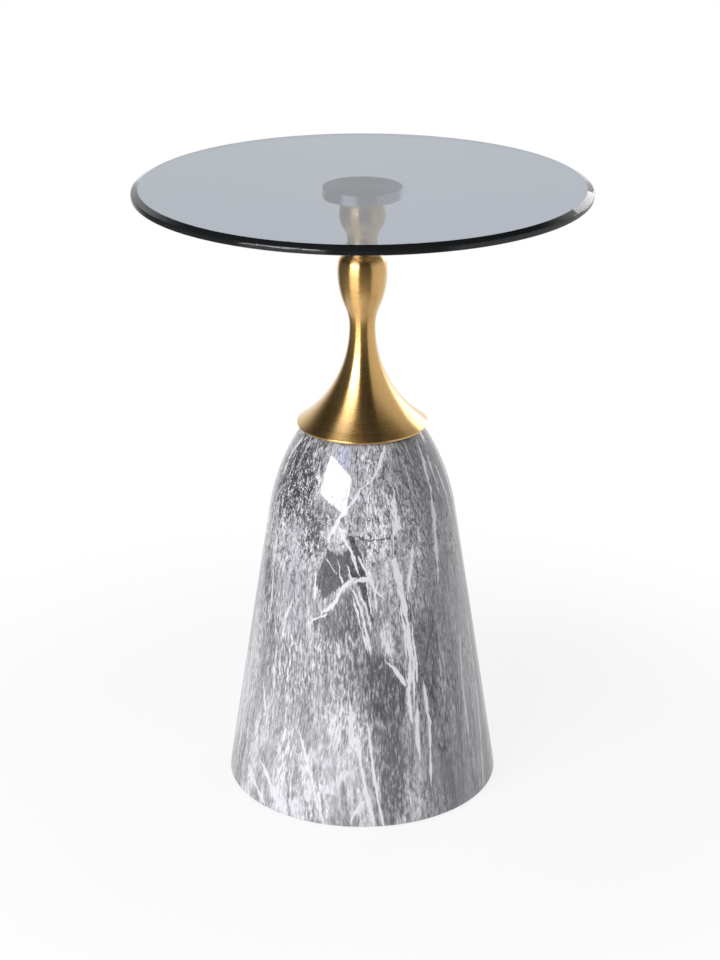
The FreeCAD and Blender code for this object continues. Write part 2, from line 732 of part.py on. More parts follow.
def make_foot_pads():
    """The soft pads under the bottom plate, between the screws."""
    pads = []
    for number in range(1, SIZES["pad_count"] + 1):
        name = f"foot_pad_{number}"
        foot_pad = document.addObject("Part::Cylinder", name)
        foot_pad.Label = name
        foot_pad.setExpression("Radius", size("pad_radius"))
        foot_pad.setExpression("Height", size("pad_thickness"))
        around(foot_pad, PAD_CIRCLE, "0", f"({number} - 0.5)", size("pad_count"))
        pads.append(foot_pad)
    return pads


def make_table():
    """Every sub-part, from the top down."""
    bush_radius = "(Sizes.neck_radius - Sizes.brass_wall - Sizes.bush_gap)"
    return [
        make_glass_top(),
        make_bond_film(),
        make_mount_disc(),
        make_upper_bulb(),
        washer("neck_bush", f"{NECK_Z} - Sizes.bush_length / 2", bush_radius, ROD_HOLE, size("bush_length")),
        make_flared_stem(),
        washer("seat_plate", STEM_Z, SEAT_RADIUS, ROD_HOLE, size("seat_thickness")),
        washer("skirt_gasket", CROWN_Z, GASKET_RADIUS, size("gasket_bore_radius"), size("gasket_thickness")),
        make_base_shell(),
        washer("crown_plate", CROWN_PLATE_Z, size("crown_plate_radius"), ROD_HOLE,
               size("crown_plate_thickness")),
        washer("clamp_washer", WASHER_Z, size("washer_radius"), ROD_HOLE, size("washer_thickness")),
        make_clamp_nut(),
        make_tie_rod(),
        make_foot_ring(),
        make_bottom_plate(),
        make_ballast_disc(),
        make_ballast_nuts(),
        make_plate_screws(),
        *make_foot_pads(),
    ]


def check(sub_parts):
    """Stops if any object failed to build or any sub-part is not a sound solid."""
    for item in document.Objects:
        if "Invalid" in item.State or "Error" in item.State:
            raise RuntimeError(f"{item.Name} did not build: {item.State}")
    for sub_part in sub_parts:
        shape = sub_part.Shape
        if shape.isNull() or not shape.isValid() or not shape.Solids:
            raise RuntimeError(f"{sub_part.Label} is not a sound solid")


table = make_table()
document.recompute()
check(table)
os.makedirs("parts", exist_ok=True)
for sub_part in table:
    sub_part.Shape.exportStep(f"parts/{sub_part.Label}.step")
    box = sub_part.Shape.optimalBoundingBox(False, False)
    print(f"{sub_part.Label}: {len(sub_part.Shape.Solids)} solid, z {box.ZMin:.2f} to {box.ZMax:.2f} mm")
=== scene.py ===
# %% [markdown]
# # A wine table in glass, brass and marble
#
# This lesson dresses a small round table for the camera. The construction is already made: every piece
# stands at its real size in a fixed frame, in metres, with the floor at z = 0 and the table's axis on
# z. We load that frame first, and every mesh, lamp and finish below is placed from it.

# %% Load the fixed frame
import math

import bpy
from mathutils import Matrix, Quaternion, Vector


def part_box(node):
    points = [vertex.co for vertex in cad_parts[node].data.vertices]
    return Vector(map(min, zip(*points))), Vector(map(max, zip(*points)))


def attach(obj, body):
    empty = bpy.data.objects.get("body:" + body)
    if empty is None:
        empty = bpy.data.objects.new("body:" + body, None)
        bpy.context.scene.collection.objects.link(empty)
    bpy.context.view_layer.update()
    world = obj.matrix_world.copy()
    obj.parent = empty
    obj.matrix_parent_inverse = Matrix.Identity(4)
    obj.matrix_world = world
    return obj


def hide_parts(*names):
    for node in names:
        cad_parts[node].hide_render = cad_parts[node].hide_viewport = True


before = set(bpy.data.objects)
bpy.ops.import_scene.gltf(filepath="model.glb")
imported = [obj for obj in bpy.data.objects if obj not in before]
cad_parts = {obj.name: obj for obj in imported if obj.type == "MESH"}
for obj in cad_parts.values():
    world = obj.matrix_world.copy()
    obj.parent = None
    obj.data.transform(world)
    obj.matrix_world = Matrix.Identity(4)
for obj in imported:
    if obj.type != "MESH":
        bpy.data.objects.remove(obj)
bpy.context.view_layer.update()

MM = 0.001
scene = bpy.context.scene
scene.view_settings.view_transform = "Standard"
print("pieces in the frame:", ", ".join(sorted(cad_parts)))

# %% [markdown]
# ## The camera
#
# The photograph was taken from a standing photographer's height with a short telephoto lens: the glass
# shows as a shallow ellipse and the foot of the base as a deep one. A camera could be aimed by eye, but
# the two ellipses fix its height, its distance and its tilt, so those three numbers are written down
# and nothing is left to taste.

# %% Stand the camera up
CAMERA_DISTANCE = 2.091
CAMERA_HEIGHT = 1.1335
CAMERA_TILT_DOWN = math.radians(21.47)
CAMERA_LENS = 86.36
CAMERA_SIDESTEP = -0.0023


def stand_camera():
    """A camera in front of the table, level from side to side and tilted down."""
    data = bpy.data.cameras.new("table_camera")
    data.sensor_fit = "VERTICAL"
    data.sensor_height = 36.0
    data.lens = CAMERA_LENS
    camera = bpy.data.objects.new("table_camera", data)
    camera.location = (CAMERA_SIDESTEP, -CAMERA_DISTANCE, CAMERA_HEIGHT)
    camera.rotation_euler = (math.pi / 2 - CAMERA_TILT_DOWN, 0.0, 0.0)
    scene.collection.objects.link(camera)
    scene.camera = camera
    return camera


camera = stand_camera()
print("camera at", tuple(round(c, 3) for c in camera.location))

# %% [markdown]
# ## A board for laying down nodes
#
# Finishes, the floor and the room are all small networks of nodes. Adding each node by hand takes four
# lines, so this helper does it in one: a socket is named in plain words, and it is given either a
# number or another node's output. The short methods under it are the few operations that every finish
# below is made of.

# %% The node board
class Board:
    """Lays down nodes in one node tree."""

    def __init__(self, tree):
        self.tree = tree
        tree.nodes.clear()

    def add(self, kind, settings=None, **sockets):
        """A new node with its settings, and its sockets filled by name (spaces as underscores)."""
        node = self.tree.nodes.new(kind)
        for name, value in (settings or {}).items():
            setattr(node, name, value)
        for name, value in sockets.items():
            self.fill(node.inputs[name.replace("_", " ")], value)
        return node

    def fill(self, socket, value):
        """Links an output to a socket, or sets the socket's own value."""
        if isinstance(value, bpy.types.NodeSocket):
            self.tree.links.new(value, socket)
        elif value is not None:
            socket.default_value = value

    def math(self, operation, first, second=None, third=None):
        """One sum."""
        node = self.add("ShaderNodeMath", {"operation": operation})
        for socket, value in zip(node.inputs, (first, second, third)):
            self.fill(socket, value)
        return node.outputs[0]

    def times(self, first, *others):
        """Several values multiplied."""
        for other in others:
            first = self.math("MULTIPLY", first, other)
        return first

    def remap(self, value, low, high, to_low=0.0, to_high=1.0, soft=True):
        """Stretches low to high onto another range, easing at both ends if soft."""
        kind = "SMOOTHSTEP" if soft else "LINEAR"
        node = self.add("ShaderNodeMapRange", {"interpolation_type": kind}, Value=value, From_Min=low,
                        From_Max=high, To_Min=to_low, To_Max=to_high)
        return node.outputs[0]

    def mix(self, amount, first, second):
        """Between two numbers."""
        node = self.add("ShaderNodeMix", {"data_type": "FLOAT"})
        for socket, value in zip((node.inputs[0], node.inputs[2], node.inputs[3]), (amount, first, second)):
            self.fill(socket, value)
        return node.outputs[0]

    def blend(self, amount, first, second):
        """Between two colours."""
        node = self.add("ShaderNodeMix", {"data_type": "RGBA"})
        for socket, value in zip((node.inputs[0], node.inputs[6], node.inputs[7]), (amount, first, second)):
            self.fill(socket, value)
        return node.outputs[2]

    def noise(self, vector, scale, detail=2.0, roughness=0.5, distortion=0.0):
        """Cloudy noise, about 0.2 to 0.8."""
        node = self.add("ShaderNodeTexNoise", None, Vector=vector, Scale=scale, Detail=detail,
                        Roughness=roughness, Distortion=distortion)
        return node.outputs[0]

    def ramp(self, value, stops):
        """A colour ramp through (place, colour) stops."""
        node = self.add("ShaderNodeValToRGB", None, Fac=value)
        elements = node.color_ramp.elements
        while len(elements) < len(stops):
            elements.new(0.5)
        for element, (place, colour) in zip(elements, stops):
            element.position = place
            element.color = (*colour, 1.0)
        return node.outputs[0]

    def curve(self, value, points):
        """A line through (from, to) points, both from 0 to 1."""
        node = self.add("ShaderNodeFloatCurve", None, Value=value)
        line = node.mapping.curves[0]
        while len(line.points) < len(points):
            line.points.new(0.5, 0.5)
        for point, place in zip(line.points, points):
            point.location = place
            point.handle_type = "VECTOR"
        node.mapping.update()
        return node.outputs[0]

    def stretch(self, vector, factors):
        """A vector stretched by its own factor along each axis."""
        node = self.add("ShaderNodeVectorMath", {"operation": "MULTIPLY"})
        self.fill(node.inputs[0], vector)
        self.fill(node.inputs[1], factors)
        return node.outputs[0]

    def band(self, value, start, full, fade, end):
        """1 between full and fade, easing to 0 at start and end."""
        return self.times(self.remap(value, start, full), self.remap(value, fade, end, 1.0, 0.0))

    def place(self):
        """Where we are on a piece, in the frame's metres."""
        return self.add("ShaderNodeTexCoord").outputs["Object"]

    def length(self, vector):
        """How long a vector is."""
        node = self.add("ShaderNodeVectorMath", {"operation": "LENGTH"})
        self.fill(node.inputs[0], vector)
        return node.outputs["Value"]

    def bump(self, height, strength, distance):
        """A normal that follows a height."""
        node = self.add("ShaderNodeBump", None, Strength=strength, Distance=distance, Height=height)
        return node.outputs[0]

    def mix_shaders(self, amount, first, second):
        """Between two shaders."""
        node = self.add("ShaderNodeMixShader", None, Fac=amount)
        for socket, shader in zip(node.inputs[1:], (first, second)):
            self.fill(socket, shader.outputs[0])
        return node

    def show(self, shader, **others):
        """Makes a shader the surface of the finish."""
        self.add("ShaderNodeOutputMaterial", None, Surface=shader.outputs[0], **others)


def new_finish(name):
    """A material and the board that its nodes are laid on."""
    material = bpy.data.materials.new(name)
    material.use_nodes = True
    return material, Board(material.node_tree)


print("the board can add", ", ".join(name for name in vars(Board) if not name.startswith("_")))

# %% [markdown]
# ## Floor and room
#
# Polished metal shows the room more than its own colour, so the room decides how the brass looks. The
# real one was a studio: white behind the table, a rectangular softbox to the front left, a second one
# behind on the right, a pale wall on the right, a dark ceiling with one long strip light, and darkness
# behind the camera. The lamps are true area lamps, and the walls are the world's colour by direction.
# The strip is a little cool, because brass takes the blue out of what it mirrors, and its highlights
# would turn lemon under plain white. The floor and the background are plain white to the camera, and
# the floor keeps a soft shadow.

# %% The room's walls, as light by direction
WHITE = (1.0, 1.0, 1.0, 1.0)
COOL_WHITE = (0.92, 0.92, 1.4, 1.0)
AMBIENT_LIGHT = 0.42
LOW_GLOW = 0.09
GLOW_HEIGHTS = (-0.3, 0.6)
DARK_CEILING = 0.03
CEILING_EDGE = (0.62, 0.86)
CEILING_DIP = 0.2
DIP_BEHIND = (0.3, 0.7)
STRIP_SIDES = (-0.64, -0.54, -0.34, -0.27)
STRIP_FOOT = (0.40, 0.60)
STRIP_END = (-0.06, 0.09)
STRIP_HEIGHTS = (0.70, 0.90)
STRIP_LEVELS = (2.8, 1.8)
STRIP_COOLNESS = (1.0, 0.25)
WALLS = [
    # Turn from the camera's side in degrees, plus to the right, and how bright the wall is there
    (-180, 0.95), (-155, 0.80), (-143, 0.45), (-132, 0.08), (-120, 0.02), (-95, 0.07), (-65, 0.07),
    (-57, 0.85), (-21, 0.85), (-15, 0.04), (39, 0.04), (48, 0.58), (80, 0.66), (120, 0.62), (155, 0.85),
    (180, 0.95),
]


def seen_clearly(board, path):
    """1 for the camera's own rays and those that only went through glass, 0 for all that met a mirror."""
    met_mirror = board.math("MINIMUM", path["Glossy Depth"], 1.0)
    through_glass = board.math("SUBTRACT", path["Is Transmission Ray"], met_mirror)
    return board.math("MAXIMUM", path["Is Camera Ray"], through_glass)


def make_room():
    """A world that is white to the camera, a studio in reflections and an even grey for the rest."""
    world = bpy.data.worlds.new("studio")
    world.use_nodes = True
    scene.world = world
    board = Board(world.node_tree)
    direction = board.add("ShaderNodeTexCoord").outputs["Generated"]
    across, along, up = board.add("ShaderNodeSeparateXYZ", None, Vector=direction).outputs
    turn = board.math("ARCTAN2", across, board.times(along, -1.0))
    round_share = board.remap(turn, -math.pi, math.pi, soft=False)
    walls = board.ramp(round_share, [((angle + 180) / 360, (level,) * 3) for angle, level in WALLS])
    walls = board.math("ADD", walls, board.remap(up, *GLOW_HEIGHTS, LOW_GLOW, 0.0))
    dip = board.remap(along, *DIP_BEHIND, 0.0, CEILING_DIP)
    seen = board.mix(board.remap(board.math("ADD", up, dip), *CEILING_EDGE), walls, DARK_CEILING)
    strip = board.times(board.band(across, *STRIP_SIDES), board.remap(up, *STRIP_FOOT),
                        board.remap(along, *STRIP_END, 1.0, 0.0))
    seen = board.mix(strip, seen, board.remap(up, *STRIP_HEIGHTS, *STRIP_LEVELS))
    path = board.add("ShaderNodeLightPath").outputs
    clear = seen_clearly(board, path)
    level = board.mix(clear, board.mix(path["Is Glossy Ray"], AMBIENT_LIGHT, seen), 1.0)
    mirrored = board.math("SUBTRACT", path["Is Glossy Ray"], clear)
    coolness = board.times(strip, board.remap(up, *STRIP_HEIGHTS, *STRIP_COOLNESS))
    colour = board.blend(board.times(mirrored, coolness), WHITE, COOL_WHITE)
    light = board.add("ShaderNodeBackground", None, Color=colour, Strength=level)
    board.add("ShaderNodeOutputWorld", None, Surface=light.outputs[0])
    return world


print("room:", make_room().name, "with", len(WALLS), "stops round the walls")

# %% The floor, white with a shadow
FLOOR_RADIUS = 0.72
FLOOR_SEGMENTS = 96
PAPER_WHITE = (0.86, 0.86, 0.86, 1.0)
SHADOW_SHARE = 0.16
SHADOW_FADE = (0.40 * FLOOR_RADIUS, 0.95 * FLOOR_RADIUS)
FAR_FLOOR = (0.5 * FLOOR_RADIUS, FLOOR_RADIUS)
FAR_FRONT_TO_BACK = (-0.15, 0.35)
PAINTED_GLOW_NEAR = 0.72
PAINTED_GLOW_FAR = (0.30, 0.85)
TOWARDS_KEY = (-0.62, -0.79)
KEY_REACH = (0.1, 0.45)
PAINTED_KEY_POOL = 1.7


def make_paper_finish():
    """White paper: it keeps the shadow, is plain white elsewhere, and in mirrors shows painted light."""
    material, board = new_finish("white_paper")
    place = board.place()
    reach = board.length(place)
    side, back, _ = board.add("ShaderNodeSeparateXYZ", None, Vector=place).outputs
    shaded = board.remap(reach, *SHADOW_FADE, SHADOW_SHARE, 0.0)
    far = board.remap(back, *FAR_FRONT_TO_BACK, *PAINTED_GLOW_FAR)
    # Painted light: in mirrors the floor glows, brighter near the table and towards the back, in place of
    # paper lit by lamps
    mirrored = board.mix(board.remap(reach, *FAR_FLOOR), PAINTED_GLOW_NEAR, far)
    to_key = board.math("MULTIPLY_ADD", side, TOWARDS_KEY[0], board.times(back, TOWARDS_KEY[1]))
    # Painted light: a brighter pool on the side towards the key softbox, painted in place of its light
    mirrored = board.times(mirrored, board.remap(to_key, *KEY_REACH, 1.0, PAINTED_KEY_POOL))
    path = board.add("ShaderNodeLightPath").outputs
    clear = seen_clearly(board, path)
    seen = board.math("MAXIMUM", clear, path["Is Glossy Ray"])
    share = board.times(seen, board.math("SUBTRACT", 1.0, shaded))
    paper = board.add("ShaderNodeBsdfDiffuse", None, Color=PAPER_WHITE)
    glow = board.add("ShaderNodeEmission", None, Color=WHITE, Strength=board.mix(clear, mirrored, 1.0))
    board.show(board.mix_shaders(share, paper, glow))
    return material


def make_floor():
    """A round sheet of white paper that fades into the white room."""
    turns = [2 * math.pi * i / FLOOR_SEGMENTS for i in range(FLOOR_SEGMENTS)]
    ring = [(FLOOR_RADIUS * math.cos(turn), FLOOR_RADIUS * math.sin(turn), 0.0) for turn in turns]
    mesh = bpy.data.meshes.new("paper_floor")
    mesh.from_pydata(ring, [], [list(range(FLOOR_SEGMENTS))])
    mesh.materials.append(make_paper_finish())
    floor = bpy.data.objects.new("paper_floor", mesh)
    scene.collection.objects.link(floor)
    return floor


print("floor:", make_floor().name)

# %% The softboxes
SOFTBOX_AIM = Vector((0.0, 0.0, 0.36))


def hang_softbox(name, turn, rise, roll, distance, size, brightness):
    """A rectangular lamp at a turn from the camera's side and a rise above level, rolled on its axis."""
    data = bpy.data.lights.new(name, "AREA")
    data.shape = "RECTANGLE"
    data.size, data.size_y = size
    data.energy = brightness * math.pi * size[0] * size[1]
    lamp = bpy.data.objects.new(name, data)
    turn, rise = math.radians(turn), math.radians(rise)
    away = Vector((math.sin(turn) * math.cos(rise), -math.cos(turn) * math.cos(rise), math.sin(rise)))
    lamp.location = SOFTBOX_AIM + away * distance
    rolled = Quaternion((0.0, 0.0, 1.0), math.radians(roll))
    lamp.rotation_euler = (away.to_track_quat("Z", "Y") @ rolled).to_euler()
    lamp.visible_camera = False
    scene.collection.objects.link(lamp)
    return lamp


key = hang_softbox("key_softbox", turn=-38, rise=21, roll=-9, distance=2.0, size=(1.36, 0.76),
                   brightness=10.5)
side = hang_softbox("side_softbox", turn=143, rise=18, roll=0, distance=2.0, size=(0.92, 0.95),
                    brightness=2.3)
print("lamps:", key.name, side.name)

# %% [markdown]
# ## Turning a piece on its axis
#
# Every visible piece of this table is round: it was spun, turned or moulded about one axis. A cylinder
# primitive would give straight walls, and a modifier would hide the outline inside its settings, so the
# outline is written as a list of points (radius, height) and turned here into a mesh of rings. Corners
# of real pieces are never knife sharp, and the small rounding is what catches the light, so `soften`
# gives each corner its own radius. A holding point just beside each rounding keeps the shading of the
# flat next to it truly flat.

# %% Outlines and turned meshes
HOLD = 0.15
ON_AXIS = 1e-7
SHARP_EDGE = math.radians(40)


def arc_points(first, last, centre, steps):
    """Points of the short arc from first to last about a centre, both ends included."""
    start = math.atan2(first[1] - centre[1], first[0] - centre[0])
    sweep = math.atan2(last[1] - centre[1], last[0] - centre[0]) - start
    sweep = (sweep + math.pi) % (2 * math.pi) - math.pi
    radius = math.dist(first, centre)
    return [(centre[0] + radius * math.cos(start + sweep * i / steps),
             centre[1] + radius * math.sin(start + sweep * i / steps)) for i in range(steps + 1)]


def soften(corners, steps=5):
    """An outline through (radius, height, rounding) corners, each rounded by its own small arc."""
    outline = []
    for i, (across, up, rounding) in enumerate(corners):
        corner = Vector((across, up))
        if rounding == 0.0:
            outline.append((across, up))
            continue
        before = (Vector(corners[i - 1][:2]) - corner).normalized()
        after = (Vector(corners[(i + 1) % len(corners)][:2]) - corner).normalized()
        half = before.angle(after) / 2
        start = corner + before * rounding / math.tan(half)
        end = corner + after * rounding / math.tan(half)
        centre = corner + (before + after).normalized() * rounding / math.sin(half)
        outline.append((start + before * HOLD * rounding)[:])
        outline += arc_points(start[:], end[:], centre[:], steps)
        outline.append((end + after * HOLD * rounding)[:])
    return outline


def turned_mesh(name, outline, segments, closed=False):
    """Rings of faces round the z axis. A point on the axis is one vertex; a closed outline is a wall."""
    vertices, rings, faces = [], [], []
    for across, up in outline:
        first = len(vertices)
        if across < ON_AXIS:
            vertices.append((0.0, 0.0, up))
            rings.append([first] * segments)
            continue
        for i in range(segments):
            turn = 2 * math.pi * i / segments
            vertices.append((across * math.sin(turn), -across * math.cos(turn), up))
        rings.append(list(range(first, first + segments)))
    pairs = list(zip(rings, rings[1:] + rings[:1]))
    for low, high in pairs if closed else pairs[:-1]:
        for i in range(segments):
            j = (i + 1) % segments
            corners = [low[i], low[j], high[j], high[i]]
            faces.append(list(dict.fromkeys(corners)))
    mesh = bpy.data.meshes.new(name)
    mesh.from_pydata(vertices, [], faces)
    mesh.validate()
    mesh.shade_smooth()
    mesh.set_sharp_from_angle(angle=SHARP_EDGE)
    return mesh


def new_piece(name, mesh, material, slot, *nodes):
    """A piece that stands for frame nodes, rides on the table and takes a finish."""
    piece = bpy.data.objects.new(name, mesh)
    scene.collection.objects.link(piece)
    piece.data.materials.append(material)
    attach(piece, "root")
    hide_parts(*nodes)
    print(name, "has", len(mesh.vertices), "points")
    return piece


def turned_piece(name, outline, segments, material, slot, node, closed=False):
    """A turned mesh that stands for one frame node."""
    return new_piece(name, turned_mesh(name, outline, segments, closed), material, slot, node)


print("ready to turn pieces")

# %% [markdown]
# ## The glass top
#
# The top is grey float glass, 8 mm thick, with a polished bevel round its upper edge. Paint with some
# transparency would look like film. Real tinted glass colours light by the length of glass it crosses:
# pale through the top and nearly black along the rim. So the shader is clear, and the grey is an
# absorbing volume inside the mesh. A very faint ripple in the roughness stands for the wiped surface,
# and a trace of cool haze on the bevel for the grinding marks that polishing left there.

# %% Glass
GLASS_BEVEL_WIDTH = 6.5 * MM
GLASS_BEVEL_HEIGHT = 3.2 * MM
GLASS_ARRIS = 0.8 * MM
GLASS_ARRIS_ROUNDING = 0.8 * MM
GLASS_EDGE_ROUNDING = 2.2 * MM
GLASS_TOP_ROUNDING = 0.35 * MM
GLASS_SEGMENTS = 320
GLASS_TINT = (0.02, 0.13, 0.28, 1.0)
GLASS_DENSITY = 100.0
WIPED_ROUGHNESS = 0.012
BEVEL_TINT = (0.78, 0.90, 1.0, 1.0)
BEVEL_HAZE = 0.012
BEVEL_EASING = 0.2 * GLASS_BEVEL_WIDTH
LEVEL = (1.0, 1.0, 0.0)


def make_glass_finish(radius):
    """Clear polished glass filled with a cool grey tint."""
    material, board = new_finish("grey_float_glass")
    place = board.place()
    wiped = board.remap(board.noise(place, 14.0, 3.0), 0.35, 0.75, 0.0, WIPED_ROUGHNESS)
    inner_edge = radius - GLASS_BEVEL_WIDTH
    reach = board.length(board.stretch(place, LEVEL))
    bevel = board.remap(reach, inner_edge, inner_edge + BEVEL_EASING)
    clear = board.math("MULTIPLY_ADD", bevel, -BEVEL_HAZE, 1.0)
    colour = board.blend(bevel, WHITE, BEVEL_TINT)
    glass = board.add("ShaderNodeBsdfPrincipled", None, Base_Color=colour, Roughness=wiped, IOR=1.5,
                      Transmission_Weight=clear)
    tint = board.add("ShaderNodeVolumeAbsorption", None, Color=GLASS_TINT, Density=GLASS_DENSITY)
    board.show(glass, Volume=tint.outputs[0])
    return material


def make_glass_top():
    """The bevelled disc of glass."""
    low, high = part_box("glass_top")
    radius = high.x
    outline = soften([
        (0.0, low.z, 0.0),
        (radius - GLASS_ARRIS, low.z, GLASS_ARRIS_ROUNDING),
        (radius, low.z + GLASS_ARRIS, GLASS_ARRIS_ROUNDING),
        (radius, high.z - GLASS_BEVEL_HEIGHT, GLASS_EDGE_ROUNDING),
        (radius - GLASS_BEVEL_WIDTH, high.z, GLASS_TOP_ROUNDING),
        (0.0, high.z, 0.0),
    ])
    finish = make_glass_finish(radius)
    return turned_piece("glass_disc", outline, GLASS_SEGMENTS, finish, "tinted_glass", "glass_top")


glass_disc = make_glass_top()

# %% [markdown]
# ## The bonding layer
#
# A cured clear resin holds the disc to the glass. It is a third of a millimetre thick and almost cannot
# be seen. A second refracting solid pressed against the glass would make the renderer guess which
# surface comes first, so the film is a see-through shader with a trace of milkiness, uneven as a
# hand-laid film is, and it is made a hair thinner than its gap.

# %% Bond film
FILM_GAP = 0.05 * MM
FILM_SEGMENTS = 192
FILM_MILKINESS = (0.01, 0.05)
MILK_WHITE = (0.82, 0.83, 0.84, 1.0)


def make_bond_finish():
    """Almost clear, slightly milky resin."""
    material, board = new_finish("cured_resin")
    milk = board.remap(board.noise(board.place(), 60.0, 4.0), 0.35, 0.75, *FILM_MILKINESS)
    clear = board.add("ShaderNodeBsdfTransparent")
    haze = board.add("ShaderNodeBsdfPrincipled", None, Base_Color=MILK_WHITE, Roughness=0.35)
    board.show(board.mix_shaders(milk, clear, haze))
    return material


def make_bond_film():
    """The film, a hair thinner than its gap: a face shared with the glass would flicker."""
    low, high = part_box("bond_film")
    radius, bottom, top = high.x - FILM_GAP, low.z + FILM_GAP, high.z - FILM_GAP
    outline = [(0.0, bottom), (radius, bottom), (radius, top), (0.0, top)]
    return turned_piece("resin_film", outline, FILM_SEGMENTS, make_bond_finish(), "clear_bond", "bond_film")


resin_film = make_bond_film()

# %% [markdown]
# ## Brushed metal
#
# Metal that turned against an abrasive belt carries fine lines round its axis. Each line is too small
# to see, but together they spread every highlight across the lines and leave it sharp along them: on a
# flat disc that makes the bow-tie sheen, and on a stem the tall bright bands. Anisotropy in the shader
# gives that spread. The lines themselves come from noise that is stretched almost for ever round the
# axis, and they vary the roughness and colour. The brass would tarnish, so it has a coat of clear
# lacquer, and the silver has none.

# %% Round coordinates and brushed finishes
LINE_STRETCH = 0.004
BROAD_LINES = 0.12
BROAD_SHARE = 0.35
ACROSS_THE_LINES = 0.25
LACQUER_ROUGHNESS = 0.16


def round_place(board):
    """Where we are as a turner sees it: the radius, the angle and the height."""
    place = board.place()
    across, along, up = board.add("ShaderNodeSeparateXYZ", None, Vector=place).outputs
    angle = board.math("ARCTAN2", across, board.times(along, -1.0))
    return board.length(board.stretch(place, LEVEL)), angle, up


def brushed_finish(name, pale, deep, roughness, anisotropy, line_width, lacquer):
    """Metal brushed round its axis, between a pale and a deep colour, under some lacquer."""
    material, board = new_finish(name)
    radius, angle, up = round_place(board)
    around = board.times(angle, LINE_STRETCH)
    lines = board.add("ShaderNodeCombineXYZ", None, X=radius, Y=around, Z=up).outputs[0]
    fine = board.noise(lines, 1.0 / line_width, 3.0, 0.7)
    broad = board.noise(lines, BROAD_LINES / line_width, 2.0, 0.6)
    both = board.mix(BROAD_SHARE, fine, broad)
    colour = board.blend(board.remap(both, 0.30, 0.70), (*deep, 1.0), (*pale, 1.0))
    rough = board.remap(both, 0.25, 0.75, roughness * 0.85, roughness * 1.2)
    tangent = board.add("ShaderNodeTangent", {"direction_type": "RADIAL", "axis": "Z"}).outputs[0]
    metal = board.add("ShaderNodeBsdfPrincipled", None, Base_Color=colour, Metallic=1.0, Roughness=rough,
                      Anisotropic=anisotropy, Anisotropic_Rotation=ACROSS_THE_LINES, Tangent=tangent,
                      Normal=board.bump(fine, 0.06, 0.04 * MM), Coat_Weight=lacquer,
                      Coat_Roughness=LACQUER_ROUGHNESS)
    board.show(metal)
    return material


brushed_silver = brushed_finish(
    "brushed_silver", pale=(0.76, 0.75, 0.79), deep=(0.62, 0.61, 0.65),
    roughness=0.36, anisotropy=1.0, line_width=0.6 * MM, lacquer=0.0,
)
brushed_brass = brushed_finish(
    "brushed_brass", pale=(0.87, 0.535, 0.18), deep=(0.79, 0.475, 0.15),
    roughness=0.29, anisotropy=0.88, line_width=0.5 * MM, lacquer=1.0,
)
print("brushed finishes:", brushed_silver.name, brushed_brass.name)

# %% [markdown]
# ## The disc under the glass
#
# A turned aluminium disc spreads the load from the stem to the glass. Its edges are eased by a small
# chamfer, and a hole from below takes the rod. The outline walks round the section once, from the axis
# inside the hole to the axis on top.

# %% Mount disc
DISC_EDGE = 0.6 * MM
ROD_RADIUS = 5.1 * MM
ROD_DEPTH = 8.0 * MM
DISC_SEGMENTS = 192


def make_mount_disc():
    """The silver disc with its blind hole."""
    low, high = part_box("mount_disc")
    outline = soften([
        (0.0, low.z + ROD_DEPTH, 0.0),
        (ROD_RADIUS, low.z + ROD_DEPTH, 0.0),
        (ROD_RADIUS, low.z, 0.0),
        (high.x, low.z, DISC_EDGE),
        (high.x, high.z, DISC_EDGE),
        (0.0, high.z, 0.0),
    ])
    return turned_piece("silver_disc", outline, DISC_SEGMENTS, brushed_silver, "brushed_disc", "mount_disc")


silver_disc = make_mount_disc()

# %% [markdown]
# ## The brass stem
#
# The stem was spun from sheet in two pieces that meet at a neck. A spun outline is a chain of arcs,
# each one tangent to the next, so it is drawn that way here, from a few radii, and not as a list of
# traced points. The wall's inner face is the same chain one sheet thickness further in.

# %% Chains of arcs
SHEET = 2.0 * MM
ARC_STEPS = 26
STEM_SEGMENTS = 256
BULB_SEGMENTS = 192


def along(start, end, distance):
    """The point at a distance from start in the direction of end."""
    length = math.dist(start, end)
    return tuple(a + (b - a) * distance / length for a, b in zip(start, end))


def s_curve(low, high, low_curve):
    """Two arcs between two upright ends: the lower centre, the meeting point and the upper centre."""
    spread, rise = high[0] - low[0], high[1] - low[1]
    high_curve = (spread**2 + rise**2) / (2 * spread) - low_curve
    low_centre = (low[0] + low_curve, low[1])
    high_centre = (high[0] - high_curve, high[1])
    return low_centre, along(low_centre, high_centre, low_curve), high_centre


def rise_on(start, centre, rise):
    """The point of an arc that starts level with its centre and climbs by a rise."""
    curve = start[0] - centre[0]
    return (centre[0] + math.sqrt(curve**2 - rise**2), centre[1] + rise)


def spun_wall(arcs):
    """Outer and inner points of a chain of arcs (first, last, centre, side), side -1 where drawn in."""
    outer, inner = [], []
    for first, last, centre, side in arcs:
        outer += arc_points(first, last, centre, ARC_STEPS)[:-1]
        shrink = 1.0 - side * SHEET / math.dist(first, centre)
        ends = [tuple(c + (p - c) * shrink for p, c in zip(point, centre)) for point in (first, last)]
        inner += arc_points(*ends, centre, ARC_STEPS)[:-1]
    return outer + [arcs[-1][1]], inner


print("arc chains ready, sheet", SHEET / MM, "mm")

# %% Upper bulb
NECK_RADIUS = 14.5 * MM
BULB_NECK_CURVE = 17.0 * MM
BULB_RISE = 25.0 * MM
BULB_TOP_CURVE = 26.0 * MM


